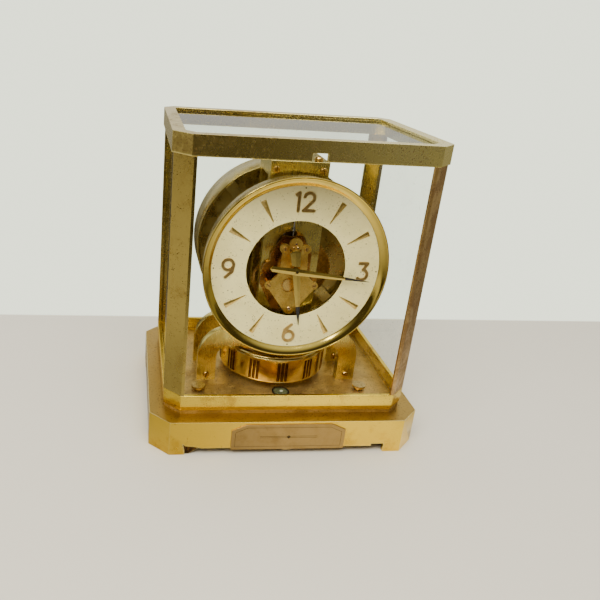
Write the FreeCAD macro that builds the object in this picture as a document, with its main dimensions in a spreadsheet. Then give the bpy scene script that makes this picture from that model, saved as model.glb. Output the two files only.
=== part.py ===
"""Anniversary clock: a torsion-pendulum movement, wound by a bellows, in a glazed brass case.

Millimetres. The origin is the bottom centre of the base, +Z up. The dial faces -Y and +X is to its
right. Flat pieces that face the front are drawn in their own XY plane and stood upright, so that
their drawing's y is the clock's z and their thickness grows towards the dial.
"""
import FreeCAD, Part
import Sketcher
import math
import os
import re

from FreeCAD import Placement, Rotation, Vector

DIMENSIONS = {
    "base_width": 210, "base_depth": 162, "base_height": 28.2, "base_corner": 14.8,
    "base_rear_corner": 10.6, "base_wall": 3, "foot_height": 5.5, "foot_inset": 28.5,
    "deck_top": 31.6, "deck_inset": 1.2,
    "rail_width": 189.2, "rail_depth": 139.8, "rail_top": 44.2, "rail_corner": 12.3,
    "rail_rear_corner": 10, "rail_wall": 3, "rail_band": 3, "rail_step": 0.6,
    "head_width": 191.6, "head_depth": 140.6, "head_bottom": 221, "case_height": 235,
    "head_corner": 12, "head_rear_corner": 8.2, "head_flange": 9, "head_plate": 2.4,
    "latch_width": 10.6, "latch_height": 5.6,
    "glass": 2, "glass_gap": 0.3, "pillar_wall": 2.6, "pillar_return": 2.4,
    "plaque_width": 88, "plaque_bottom": 4.4, "plaque_top": 26.2, "plaque_cut": 11,
    "plaque_thickness": 0.8,
    "level_radius": 7, "level_y": -43, "screw_x": 66, "screw_y": -39,
    "axis_height": 136, "dial_height": 136.5, "dial_radius": 63, "dial_hole": 37.3,
    "dial_front": -45, "dial_thickness": 0.8, "bezel_radius": 69.6, "bezel_rise": 4.2,
    "dial_case_radius": 67.4, "dial_case_depth": 14, "edge_depth": 4,
    "frame_front": -24, "rear_frame_front": 8, "frame_thickness": 7,
    "leg_outside": 66, "leg_width": 15, "bend_radius": 25, "bend_height": 52.5,
    "column_inside": 12, "column_outside": 22, "web_top": 93, "slot_top": 160,
    "block_bottom": 200, "block_top": 212,
    "bridge_front": -38, "plate_thickness": 2.4, "clearance": 0.05,
    "drum_radius": 67.5, "drum_height": 135, "drum_front": 15, "drum_back": 46,
    "cap_thickness": 4, "cap_boss": 10,
    "balance_y": 2, "balance_radius": 44, "balance_bottom": 38.5, "balance_top": 60,
    "balance_wall": 7.5, "flute_radius": 1, "wire_radius": 0.25,
    "barrel_x": 15, "barrel_height": 125.5, "second_x": -9.5, "second_height": 118.5,
    "motion_x": -2.5, "motion_height": 121.5, "idler_height": 119, "escape_height": 101.6,
    "pallet_height": 88.9, "escape_radius": 11,
    "minute_length": 56.4, "minute_tail": 20.6, "hour_length": 44.4, "hour_tail": 16,
    "hand_thickness": 0.6, "minute_back": -48.3, "hour_back": -45.9,
    "arbor": 0.9, "main_arbor": 1.5, "foot_screw": 2.6, "foot_screw_height": 36.6,
    "block_screw_height": 205.6, "block_screw_x": 17.5, "bridge_screw": 1.7, "screw_head": 1.6,
}

UPRIGHT = Rotation(Vector(1, 0, 0), 90)
SIDEWAYS = Rotation(Vector(0, 1, 0), 90)
BRIDGE_POSTS = ((-8, 150), (8, 150), (-17.5, 121), (17.5, 121))
MINUTE_ANGLE = -6.6
HOUR_ANGLE = -81.6

doc = FreeCAD.newDocument("anniversary_clock")
sheet = doc.addObject("Spreadsheet::Sheet", "sizes")
for row, (alias, value) in enumerate(DIMENSIONS.items(), start=1):
    sheet.set(f"A{row}", alias.replace("_", " "))
    sheet.set(f"B{row}", str(value))
    sheet.setAlias(f"B{row}", alias)
doc.recompute()

nodes = []


# ---------------------------------------------------------------- helpers

def bound(formula):
    """A formula in sheet names, such as 'base_width / 2', as a FreeCAD expression."""
    return re.sub(r"[a-z_]+", lambda word: f"sizes.{word.group()}" if word.group() in DIMENSIONS
                  else word.group(), str(formula))


def size(alias):
    """The sheet's value, for shapes that are worked out in code."""
    return float(getattr(sheet, alias))


def keep(item, name):
    """Marks an object as a finished sub-part."""
    item.Label = name
    nodes.append(item)
    return item


def place(item, at, rotation=None):
    """Puts an object at three formulas."""
    item.Placement = Placement(Vector(), rotation or Rotation())
    for axis, formula in zip("xyz", at):
        item.setExpression(f"Placement.Base.{axis}", bound(formula))
    return item


def box(x, y, z):
    """A box between two formulas on each axis."""
    item = doc.addObject("Part::Box", "box")
    for side, (low, high) in zip(("Length", "Width", "Height"), (x, y, z)):
        item.setExpression(side, bound(f"({high}) - ({low})"))
    return place(item, (x[0], y[0], z[0]))


def rod(radius, start, length, rotation=None):
    """A round rod: up the Z axis, or towards the front when it is UPRIGHT."""
    item = doc.addObject("Part::Cylinder", "rod")
    item.setExpression("Radius", bound(radius))
    item.setExpression("Height", bound(length))
    return place(item, start, rotation)


def joined(parts):
    """One solid made of several."""
    item = doc.addObject("Part::MultiFuse", "joined")
    item.Shapes = list(parts)
    item.Refine = True
    return item


def without(base, tools):
    """A solid with others cut away."""
    item = doc.addObject("Part::Cut", "cut")
    item.Base = base
    item.Tool = tools[0] if len(tools) == 1 else joined(tools)
    return item


def group(parts, name):
    """Identical or related loose solids that share one node."""
    item = doc.addObject("Part::Compound", name)
    item.Links = list(parts)
    return keep(item, name)


def feature(shape, name, at=(0, 0, 0), rotation=None):
    """A sub-part whose outline is worked out in code."""
    item = doc.addObject("Part::Feature", name)
    item.Shape = shape
    item.Placement = Placement(Vector(*at), rotation or Rotation())
    return item


def sketch_on(body, role, name, offset=0):
    """A sketch on one of the body's origin planes."""
    sketch = body.newObject("Sketcher::SketchObject", name)
    plane = [item for item in body.Origin.OriginFeatures if item.Role == role][0]
    sketch.AttachmentSupport = [(plane, "")]
    sketch.MapMode = "FlatFace"
    sketch.setExpression("AttachmentOffset.Base.z", bound(offset))
    return sketch


def tie(sketch, kind, values, formula):
    """Adds one driven constraint and binds it to the sheet."""
    index = sketch.addConstraint(Sketcher.Constraint(kind, *values, 1.0))
    sketch.setExpression(f"Constraints[{index}]", bound(formula))


def draw_polygon(sketch, points):
    """A closed outline whose corners are tied to formulas."""
    start = sketch.GeometryCount
    count = len(points)
    rough = [Vector(math.cos(turn), math.sin(turn), 0)
             for turn in (2 * math.pi * corner / count for corner in range(count))]
    for corner in range(count):
        sketch.addGeometry(Part.LineSegment(rough[corner], rough[(corner + 1) % count]), False)
    for corner in range(count):
        sketch.addConstraint(Sketcher.Constraint("Coincident", start + corner, 2,
                                                 start + (corner + 1) % count, 1))
    for corner, (across, along) in enumerate(points):
        tie(sketch, "DistanceX", (-1, 1, start + corner, 1), across)
        tie(sketch, "DistanceY", (-1, 1, start + corner, 1), along)


def draw_circle(sketch, across, along, radius):
    """A circle tied to formulas."""
    index = sketch.GeometryCount
    sketch.addGeometry(Part.Circle(Vector(1, 1, 0), Vector(0, 0, 1), 1), False)
    tie(sketch, "DistanceX", (-1, 1, index, 3), across)
    tie(sketch, "DistanceY", (-1, 1, index, 3), along)
    tie(sketch, "Radius", (index,), radius)


def draw(sketch, loops):
    """Loops are lists of corners, or (across, along, radius) circles."""
    for loop in loops:
        if isinstance(loop, list):
            draw_polygon(sketch, loop)
        else:
            draw_circle(sketch, *loop)


def new_body(name):
    body = doc.addObject("PartDesign::Body", name)
    body.Label = name
    return body


def pad(body, loops, thickness, offset=0):
    """Adds a slab to a body, from its XY plane or a height above it."""
    sketch = sketch_on(body, "XY_Plane", "outline", offset)
    draw(sketch, loops)
    slab = body.newObject("PartDesign::Pad", "slab")
    slab.Profile = sketch
    slab.setExpression("Length", bound(thickness))
    sketch.Visibility = False
    return slab


def pocket(body, loops, depth, offset=0):
    """Cuts upwards from a height, by a depth."""
    sketch = sketch_on(body, "XY_Plane", "opening", offset)
    draw(sketch, loops)
    hollow = body.newObject("PartDesign::Pocket", "hollow")
    hollow.Profile = sketch
    hollow.Reversed = True
    hollow.setExpression("Length", bound(depth))
    return hollow


def slab(name, loops, low, thickness):
    """A flat piece that lies level."""
    body = new_body(name)
    pad(body, loops, thickness, low)
    return body


def plate(name, pads, back, thickness):
    """A flat piece that faces the front: its back at y, made of one pad for each set of loops."""
    body = new_body(name)
    for loops in pads:
        pad(body, loops, thickness)
    return place(body, (0, back, 0), UPRIGHT)


def turned(name, profile, at, rotation=None):
    """A round piece from (radius, height) corners, standing on a point."""
    body = new_body(name)
    sketch = sketch_on(body, "XZ_Plane", "profile")
    draw_polygon(sketch, profile)
    solid = body.newObject("PartDesign::Revolution", "turning")
    solid.Profile = sketch
    solid.ReferenceAxis = (sketch, ["V_Axis"])
    solid.Angle = 360
    return place(body, at, rotation)


def octagon(half_width, front, back, cut, rear_cut):
    """A rectangle with two cut corners at the front and two smaller ones behind."""
    right, front, back = f"({half_width})", f"({front})", f"({back})"
    return [(f"-{right}", f"-{front} + ({cut})"), (f"-{right} + ({cut})", f"-{front}"),
            (f"{right} - ({cut})", f"-{front}"), (right, f"-{front} + ({cut})"),
            (right, f"{back} - ({rear_cut})"), (f"{right} - ({rear_cut})", back),
            (f"-{right} + ({rear_cut})", back), (f"-{right}", f"{back} - ({rear_cut})")]


def inset(half_width, depth, cut, rear_cut, amount):
    """The same octagon, drawn in by an amount on every side."""
    narrow = f"({amount}) * 0.586"
    return octagon(f"{half_width} - ({amount})", f"{depth} - ({amount})", f"{depth} - ({amount})",
                   f"({cut}) - {narrow}", f"({rear_cut}) - {narrow}")


# ---------------------------------------------------------------- case

def make_base():
    """Hollow plinth on two corner feet at the front and two behind, with its deck and plaque."""
    front = "base_depth / 2 - plaque_thickness / 2"
    back = "base_depth / 2 + plaque_thickness / 2"
    outer = octagon("base_width / 2", front, back, "base_corner", "base_rear_corner")
    inner = octagon("base_width / 2 - base_wall", f"{front} - base_wall", f"{back} - base_wall",
                    "base_corner - base_wall * 0.586", "base_rear_corner - base_wall * 0.586")
    body = slab("base_shell", [outer], 0, "base_height")
    pocket(body, [inner], "base_height - base_wall")
    openings = [
        box(("foot_inset - base_width / 2", "base_width / 2 - foot_inset"),
            ("-base_depth", "base_depth"), (-1, "foot_height")),
        box(("-base_width", "base_width"), ("foot_inset - base_depth / 2", "base_depth / 2 - foot_inset"),
            (-1, "foot_height")),
        rod("2.5 + clearance", (0, "balance_y", "base_height - base_wall - 1"), "base_wall + 2")]
    openings += [rod("3 + clearance", (side, "screw_y", "base_height - base_wall - 1"), "base_wall + 2")
                 for side in ("-screw_x", "screw_x")]
    openings.append(box(("base_width / 2 - foot_inset - 10", "base_width / 2 - foot_inset"),
                        ("-base_depth", "base_wall * 2 - base_depth / 2"), (-1, "foot_height + 1.9")))
    openings.append(plate("torn_notch", [[[(-78.4, -1), (-78.8, 3.4), (-80.2, 9.4), (-77.8, 7.6), (-72, 7),
                                           (-66.8, 5.9), (-66.6, -1)]]], f"1.2 - ({front})", 3))
    torn_flap = plate("torn_flap", [[[(-77.5, 0.6), (-75.8, 0), (-66.4, 6.2), (-77.5, 6.2)]]],
                      f"2.8 - ({front})", 1.6)
    lock_pivot = rod(2, (0, -14, 3), "base_height - 4")
    keep(joined([without(body, openings), torn_flap, lock_pivot]), "base_plinth")

    deck = slab("deck_plate", [
        inset("rail_width / 2", "rail_depth / 2", "rail_corner", "rail_rear_corner", "deck_inset"),
        (0, "balance_y", "2.5 + clearance"), (0, "level_y", "level_radius"),
        ("-screw_x", "screw_y", "3 + clearance"), ("screw_x", "screw_y", "3 + clearance")],
        "base_height", "deck_top - base_height")
    keep(deck, "deck_plate")

    half, cut = "plaque_width / 2", "plaque_cut"
    plaque = plate("plaque", [[[
        (f"-{half}", "plaque_bottom"), (half, "plaque_bottom"), (half, f"plaque_top - {cut} * 0.46"),
        (f"{half} - {cut}", "plaque_top"), (f"{cut} - {half}", "plaque_top"),
        (f"-{half}", f"plaque_top - {cut} * 0.46")]]], f"-({front})", "plaque_thickness")
    keep(plaque, "plaque")

    keep(turned("level_cup", [(0, 0), ("level_radius", 0), ("level_radius", 3.9),
                              ("level_radius - 1.2", 3.9), ("level_radius - 1.2", 1), (0, 1)],
                (0, "level_y", "base_height")), "level_cup")
    keep(rod("level_radius - 1.2", (0, "level_y", "base_height + 1"), 2.4), "level_vial")


def make_rails():
    """Octagonal brass rails that hold the glass at the bottom and the top."""
    sill_inner = inset("rail_width / 2", "rail_depth / 2", "rail_corner", "rail_rear_corner", "rail_wall")
    sill = slab("bottom_rail", [
        inset("rail_width / 2", "rail_depth / 2", "rail_corner", "rail_rear_corner", "rail_step"),
        sill_inner], "deck_top", "rail_band")
    pad(sill, [inset("rail_width / 2", "rail_depth / 2", "rail_corner", "rail_rear_corner", 0),
               sill_inner], "rail_top - deck_top - rail_band", "deck_top + rail_band")
    keep(sill, "bottom_rail")

    head = slab("head_ring", [
        inset("head_width / 2", "head_depth / 2", "head_corner", "head_rear_corner", 0),
        inset("head_width / 2", "head_depth / 2", "head_corner", "head_rear_corner", "rail_wall")],
        "head_bottom", "case_height - head_bottom - head_plate")
    pad(head, [inset("head_width / 2", "head_depth / 2", "head_corner", "head_rear_corner", 0),
               inset("head_width / 2", "head_depth / 2", "head_corner", "head_rear_corner", "head_flange")],
        "head_plate", "case_height - head_plate")
    notch = box(("-latch_width / 2", "latch_width / 2"),
                ("-head_depth / 2 - 1", "rail_wall + 1 - head_depth / 2"),
                ("head_bottom - 1", "head_bottom + latch_height"))
    keep(without(head, [notch]), "top_rail")


def pillar(name, side, end, cut):
    """A folded strip on a cut corner, with a short return along each glass."""
    def corner(across, along):
        return (f"{side} * (rail_width / 2 - ({across}))", f"{end} * (rail_depth / 2 - ({along}))")
    wall, lip = "pillar_wall", "pillar_return"
    outline = [corner(0, cut), corner(cut, 0), corner(f"{cut} + {lip}", 0), corner(f"{cut} + {lip}", wall),
               corner(f"{cut} + {wall} * 0.42", wall), corner(wall, f"{cut} + {wall} * 0.42"),
               corner(wall, f"{cut} + {lip}"), corner(0, f"{cut} + {lip}")]
    keep(slab(name, [outline], "rail_top", "head_bottom - rail_top"), name)


def make_glazing():
    """Four corner pillars and the four panes that are still in the case."""
    for name, side, end, cut in (("pillar_front_left", -1, -1, "rail_corner"),
                                 ("pillar_front_right", 1, -1, "rail_corner"),
                                 ("pillar_rear_left", -1, 1, "rail_rear_corner"),
                                 ("pillar_rear_right", 1, 1, "rail_rear_corner")):
        pillar(name, side, end, cut)
    face = "rail_width / 2 - rail_wall - glass_gap"
    ends = ("rail_corner + 2 - rail_depth / 2", "rail_depth / 2 - rail_rear_corner - 2")
    height = ("deck_top + glass_gap", "head_bottom + 8")
    keep(box((f"-({face})", f"glass - ({face})"), ends, height), "glass_left")
    keep(box((f"{face} - glass", face), ends, height), "glass_right")
    width = "rail_width / 2 - rail_rear_corner - 2"
    keep(box((f"-({width})", width),
             ("rail_depth / 2 - rail_wall - glass_gap - glass", "rail_depth / 2 - rail_wall - glass_gap"),
             height), "glass_rear")
    pane = slab("glass_top", [inset("head_width / 2", "head_depth / 2", "head_corner", "head_rear_corner",
                                    "rail_wall + glass_gap")],
                "case_height - head_plate - glass", "glass")
    keep(pane, "glass_top")


# ---------------------------------------------------------------- movement support

def mirrored(side, near, far):
    """A range of x on the right (side 1) or the left (side -1)."""
    return (near, far) if side > 0 else (f"-({far})", f"-({near})")


def arch(front):
    """One bracket: two bent legs, a crossbar, two columns and the web between their feet."""
    back = f"{front} + frame_thickness"
    depth = (front, back)
    bar_top = "bend_height + bend_radius"
    bar_bottom = f"{bar_top} - leg_width"
    bend_x = "leg_outside - bend_radius"
    pieces = [box((f"-({bend_x})", bend_x), depth, (bar_bottom, bar_top)),
              box(("-column_inside", "column_inside"), depth, (bar_bottom, "web_top"))]
    for side in (-1, 1):
        legs = mirrored(side, "leg_outside - leg_width", "leg_outside")
        pieces.append(box(legs, depth, ("deck_top", "bend_height")))
        columns = mirrored(side, "column_inside", "column_outside")
        pieces.append(box(columns, depth, (bar_bottom, "block_bottom")))
        bend = rod("bend_radius", (f"{side} * ({bend_x})", back, "bend_height"), "frame_thickness", UPRIGHT)
        bend.Angle = 90
        if side < 0:
            bend.Placement.Rotation = Rotation(Vector(0, 1, 0), -90) * UPRIGHT
        hollow = rod("bend_radius - leg_width", (f"{side} * ({bend_x})", f"{back} + 1", "bend_height"),
                     "frame_thickness + 2", UPRIGHT)
        pieces.append(without(bend, [hollow]))
    crown = box(("-column_inside", "column_inside"), depth, ("slot_top - column_inside", "block_bottom"))
    slot_end = rod("column_inside", (0, f"{back} + 1", "slot_top - column_inside"), "frame_thickness + 2",
                   UPRIGHT)
    pieces.append(without(crown, [slot_end]))
    return joined(pieces)


def make_bracket():
    """Front and rear brackets, the block that ties them, and every screw in them."""
    behind = "frame_front + frame_thickness + 1"
    arbor_hole = rod("main_arbor", ("barrel_x", behind, "barrel_height"), 3, UPRIGHT)
    pallet_hole = rod("arbor + clearance", (0, behind, "pallet_height"), 6, UPRIGHT)
    keep(without(arch("frame_front"), [arbor_hole, pallet_hole]), "front_bracket")
    rear_hole = rod("main_arbor", ("barrel_x", "rear_frame_front + 3", "barrel_height"), 4, UPRIGHT)
    lever_post = box((-16, -12.5), (2.5, "rear_frame_front"), (151, 159))
    lever_pin = rod(1, (-13, 4.5, 155), 7, SIDEWAYS)
    keep(joined([without(arch("rear_frame_front"), [rear_hole]), lever_post, lever_pin]), "rear_bracket")
    block = box(("-column_outside", "column_outside"),
                ("frame_front", "rear_frame_front + frame_thickness"), ("block_bottom", "block_top"))
    cock = box((-6, 6), (-4, 7), (190, "block_bottom"))
    keep(joined([block, cock]), "top_block")

    foot_x = "leg_outside - leg_width / 2"
    places = [(f"{side} * ({foot_x})", front, "foot_screw_height")
              for side in (-1, 1) for front in ("frame_front", "rear_frame_front")]
    places += [(f"{side} * block_screw_x", "frame_front", "block_screw_height") for side in (-1, 1)]
    heads = [rod("foot_screw", place_of, "screw_head", UPRIGHT) for place_of in places]
    heads.append(rod(3, (14, "frame_front + 4", "block_top"), 3.2))
    heads += [rod("bridge_screw", (x, "bridge_front", z), 0.5, UPRIGHT) for x, z in BRIDGE_POSTS]
    group(heads, "machine_screws")


# ---------------------------------------------------------------- bellows motor

def make_bellows():
    """The drum behind the movement with the bellows that winds it."""
    radius = "drum_radius"
    at = (0, "drum_back", "drum_height")
    depth = "drum_back - drum_front"
    can = turned("drum_can", [
        (f"{radius} - 2", 0), (radius, 0), (radius, depth), (f"{radius} - 1.5", depth),
        (f"{radius} - 3", f"{depth} - 5"), (15, f"{depth} - 5"), (15, f"{depth} - 7"),
        (f"{radius} - 2", f"{depth} - 7")], at, UPRIGHT)
    lugs = []
    for angle in (132, 48, 225, 315):
        turn = math.radians(angle)
        reach = size("drum_radius") - 8
        lugs.append(feature(Part.makeBox(14, 9, 1.8, Vector(-7, -4.5, -0.3)), "lug",
                            (reach * math.cos(turn), size("drum_front"),
                             size("drum_height") + reach * math.sin(turn)),
                            UPRIGHT * Rotation(Vector(0, 0, 1), angle)))
    keep(joined([can] + lugs), "bellows_drum")
    keep(turned("drum_cap", [
        (0, 0), (22, 0), (22, "cap_boss - cap_thickness"), (f"{radius} - 6", "cap_boss - cap_thickness"),
        (f"{radius} - 1", "cap_boss - cap_thickness + 1"), (radius, "cap_boss - 1"), (radius, "cap_boss"),
        (0, "cap_boss")], (0, "drum_back + cap_boss", "drum_height"), UPRIGHT), "drum_cap")
    folds = []
    for fold in range(4):
        low = 3 * fold
        folds += [(58, low + 0.3), (58, low + 1.2), (50, low + 1.5), (50, low + 2.7)]
    profile = [(0, 0.3)] + folds[:-1] + [(50, 11.5), (0, 11.5)]
    keep(turned("bellows_stack", profile, at, UPRIGHT), "bellows_stack")
    push = rod(1.5, (-9, "drum_back - 14", "drum_height"), "drum_back - 14 - 6", UPRIGHT)
    disc = rod(52, (0, "drum_back - 11.8", "drum_height"), 2.4, UPRIGHT)
    keep(joined([disc, push]), "pressure_plate")
    coil = Part.makeHelix(2.2, 8.0, 22)
    section = Part.Wire(Part.makeCircle(0.7, Vector(22, 0, 0), Vector(0, 1, 0)))
    spring = Part.Wire(coil).makePipeShell([section], True, True)
    keep(feature(spring, "return_spring", (0, 31, size("drum_height")), UPRIGHT), "return_spring")

    arm = box((-10.5, -7.5), (3.4, 5.6), (133, 158))
    keep(without(arm, [rod("1 + clearance", (-11, 4.5, 155), 4, SIDEWAYS)]), "winding_lever")


# ---------------------------------------------------------------- wheels

def toothed_outline(teeth, pitch_radius, centre_angle):
    """Straight-sided teeth, narrow enough to run freely; one tooth lies at the centre angle."""
    module = 2 * pitch_radius / teeth
    pitch = 2 * math.pi / teeth
    root, tip = pitch_radius - 1.15 * module, pitch_radius + 0.8 * module
    points = []
    for tooth in range(teeth):
        middle = math.radians(centre_angle) + tooth * pitch
        for radius, half in ((root, 0.23), (tip, 0.08)):
            points.append((radius, middle - half * pitch))
        for radius, half in ((tip, 0.08), (root, 0.23)):
            points.append((radius, middle + half * pitch))
    corners = [Vector(radius * math.cos(turn), radius * math.sin(turn), 0) for radius, turn in points]
    return Part.Face(Part.makePolygon(corners + corners[:1]))


def gear(teeth, pitch_radius, centre_angle, thickness):
    return toothed_outline(teeth, pitch_radius, centre_angle).extrude(Vector(0, 0, thickness))


def spoked(solid, rim, hub, count, thickness):
    """Cuts the windows between straight spokes."""
    window = Part.makeCylinder(rim, thickness).cut(Part.makeCylinder(hub, thickness))
    for spoke in range(count):
        arm = Part.makeBox(rim + 1, 2, thickness, Vector(0, -1, 0))
        arm.rotate(Vector(), Vector(0, 0, 1), 360 * spoke / count + 20)
        window = window.cut(arm)
    return solid.cut(window)


def towards(start, end):
    """The angle, in degrees, from one arbor to another as seen from the dial."""
    return math.degrees(math.atan2(end[1] - start[1], end[0] - start[0]))


def mesh_angles(wheel_at, pinion_at, pinion_teeth):
    """A wheel's tooth and a pinion's gap share the line of centres."""
    line = towards(wheel_at, pinion_at)
    return line, line + 180 + 180 / pinion_teeth


def pair_radii(first_at, second_at, first_teeth, second_teeth):
    """Pitch radii that fill the distance between two arbors."""
    distance = math.dist(first_at, second_at)
    share = distance / (first_teeth + second_teeth)
    return share * first_teeth, share * second_teeth


def stand(shape, name, at, back):
    """An arbor's piece, upright, with its back at y."""
    return feature(shape, name, (at[0], back, at[1]), UPRIGHT)


def shaft(radius, length, offset=0):
    return Part.makeCylinder(radius, length, Vector(0, 0, offset))


def make_train():
    """Barrel, going train, motion work and the fixed pieces that carry them."""
    gap, arbor, main_arbor = size("clearance"), size("arbor"), size("main_arbor")
    centre = (0, size("axis_height"))
    barrel = (size("barrel_x"), size("barrel_height"))
    second = (size("second_x"), size("second_height"))
    motion = (size("motion_x"), size("motion_height"))
    idler = (0, size("idler_height"))
    escape = (0, size("escape_height"))

    barrel_radius, second_pinion = pair_radii(barrel, second, 72, 12)
    second_radius, centre_pinion = pair_radii(second, centre, 72, 12)
    centre_radius, idler_pinion = pair_radii(centre, idler, 40, 20)
    idler_radius, escape_pinion = pair_radii(idler, escape, 40, 20)
    cannon, motion_radius = pair_radii(centre, motion, 16, 48)
    hour_radius, motion_pinion = pair_radii(centre, motion, 48, 12)

    tooth, gap_angle = mesh_angles(barrel, second, 12)
    drum = Part.makeCylinder(17.5, 8.6).cut(Part.makeCylinder(16.3, 7, Vector(0, 0, 0.8)))
    rim = gear(72, barrel_radius, tooth, 1.4)
    rim.translate(Vector(0, 0, 8.6))
    case = drum.fuse(rim).cut(shaft(main_arbor + gap, 12, -1))
    keep(stand(case, "mainspring_barrel", barrel, -2.4), "mainspring_barrel")
    keep(stand(coiled_strip(2.4, 1.2, 11, 0.35, 6), "mainspring", barrel, -3.4), "mainspring")
    length = size("rear_frame_front") - size("frame_front") - size("frame_thickness") + 3
    ratchet = gear(24, 8, 0, 1.2)
    ratchet.translate(Vector(0, 0, size("rear_frame_front") + 0.6))
    keep(stand(shaft(main_arbor, length).fuse(ratchet), "barrel_arbor", barrel, size("rear_frame_front") + 2),
         "barrel_arbor")

    leaf = gear(12, second_pinion, gap_angle, 1.8)
    leaf.translate(Vector(0, 0, 2.8))
    keep(stand(shaft(arbor, 18.6).fuse(leaf), "second_arbor", second, -8), "second_arbor")
    tooth, gap_angle = mesh_angles(second, centre, 12)
    wheel = spoked(gear(72, second_radius, tooth, 1), second_radius - 2.2, 4, 4, 1).cut(shaft(arbor, 1))
    keep(stand(wheel, "second_wheel", second, -15.4), "second_wheel")

    leaf = gear(12, centre_pinion, gap_angle, 1.4)
    leaf.translate(Vector(0, 0, 0.2))
    keep(stand(shaft(1, 34.4).fuse(leaf), "centre_arbor", centre, -15), "centre_arbor")
    tooth, gap_angle = mesh_angles(centre, idler, 20)
    wheel = spoked(gear(40, centre_radius, tooth, 1), centre_radius - 1.8, 3.4, 4, 1).cut(shaft(1, 1))
    keep(stand(wheel, "centre_wheel", centre, -30), "centre_wheel")
    leaf = gear(20, idler_pinion, gap_angle, 1.4)
    leaf.translate(Vector(0, 0, 2.2))
    tooth, gap_angle = mesh_angles(idler, escape, 20)
    wheel = spoked(gear(40, idler_radius, tooth, 1), idler_radius - 1.8, 3.4, 4, 1)
    wheel.translate(Vector(0, 0, 0.2))
    tube = shaft(2.2, 3.6)
    keep(stand(wheel.fuse(tube).fuse(leaf).cut(shaft(arbor + gap, 4, -0.2)), "idler_wheel", idler, -27.6),
         "idler_wheel")

    leaf = gear(20, escape_pinion, gap_angle, 1.4)
    leaf.translate(Vector(0, 0, 20.6))
    keep(stand(shaft(arbor, 31.4).fuse(leaf), "escape_arbor", escape, -7), "escape_arbor")
    keep(stand(escape_wheel_shape(), "escape_wheel", escape, -13.6), "escape_wheel")

    tooth, gap_angle = mesh_angles(motion, centre, 16)
    wheel = gear(48, motion_radius, tooth, 1)
    pinion = gear(16, cannon, gap_angle, 1.4)
    tube = shaft(1.8, 16.3)
    keep(stand(pinion.fuse(tube).cut(shaft(1, 18, -1)), "cannon_pinion", centre, -32), "cannon_pinion")
    tooth, gap_angle = mesh_angles(centre, motion, 12)
    leaf = gear(12, motion_pinion, gap_angle, 1.6)
    leaf.translate(Vector(0, 0, 1.4))
    collar = gear(22, 4.9, 0, 1.2)
    collar.translate(Vector(0, 0, 4.5))
    wheel = wheel.fuse([leaf, shaft(arbor, 5), collar])
    keep(stand(wheel, "motion_wheel", motion, -32.2), "motion_wheel")
    wheel = gear(48, hour_radius, tooth, 1).fuse(shaft(2.6, 12.5))
    keep(stand(wheel.cut(shaft(1.8 + gap, 14, -1)), "hour_wheel", centre, -34), "hour_wheel")


def coiled_strip(start, pitch, half_turns, thickness, width):
    """A flat spiral of half circles, each a little larger than the last."""
    halves = []
    centre, radius = 0.0, start
    for half in range(half_turns * 2):
        outer = Part.makeCylinder(radius + thickness / 2, width, Vector(centre, 0, 0), Vector(0, 0, 1), 180)
        if half % 2:
            outer.rotate(Vector(centre, 0, 0), Vector(0, 0, 1), 180)
        halves.append(outer.cut(Part.makeCylinder(radius - thickness / 2, width, Vector(centre, 0, 0))))
        centre += (pitch / 4) * (1 if half % 2 else -1)
        radius += pitch / 4
    return halves[0].fuse(halves[1:])


def escape_wheel_shape():
    """Fifteen raked teeth on a spoked rim."""
    tip, root, teeth = size("escape_radius"), size("escape_radius") - 2.4, 15
    corners = []
    for tooth in range(teeth):
        start = 2 * math.pi * tooth / teeth + math.radians(12)
        for radius, turn in ((root, -0.16), (tip, 0.0), (tip, 0.03), (root, 0.02)):
            corners.append(Vector(radius * math.cos(start + turn), radius * math.sin(start + turn), 0))
    solid = Part.Face(Part.makePolygon(corners + corners[:1])).extrude(Vector(0, 0, 0.8))
    return spoked(solid, root - 1.4, 2.8, 4, 0.8).cut(shaft(size("arbor"), 0.8))


def make_lever():
    """Pallets above, fork below, on one arbor."""
    pivot = size("pallet_height")
    stone_reach = size("escape_height") - pivot
    arms = []
    for side in (-1, 1):
        arm = Part.Face(Part.makePolygon([Vector(*corner, 0) for corner in (
            (side * 0.8, -1.2), (side * 7.2, 0.2), (side * 6.8, 2.2), (side * 5.8, 2.4),
            (side * 5.8, 1.2), (side * 0.2, 1.6), (side * 0.8, -1.2))])).extrude(Vector(0, 0, 0.8))
        arms.append(arm)
    hub = Part.makeCylinder(1.5, 0.8)
    pallets = hub.fuse(arms)
    pallets.translate(Vector(0, 0, 11.2))
    stem = Part.makeBox(1.6, stone_reach - 2.4, 1, Vector(-0.8, 2.4 - stone_reach, 0.1))
    tines = [Part.makeBox(0.7, 3, 1, Vector(side * 1.15 - 0.35, -stone_reach - 0.2, 0.1)) for side in (-1, 1)]
    cross = Part.makeBox(3, 1, 1, Vector(-1.5, 2.2 - stone_reach, 0.1))
    body = shaft(size("arbor"), 19.5).fuse([pallets, stem, cross] + tines)
    keep(stand(body, "pallet_lever", (0, pivot), -2.4), "pallet_lever")


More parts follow.
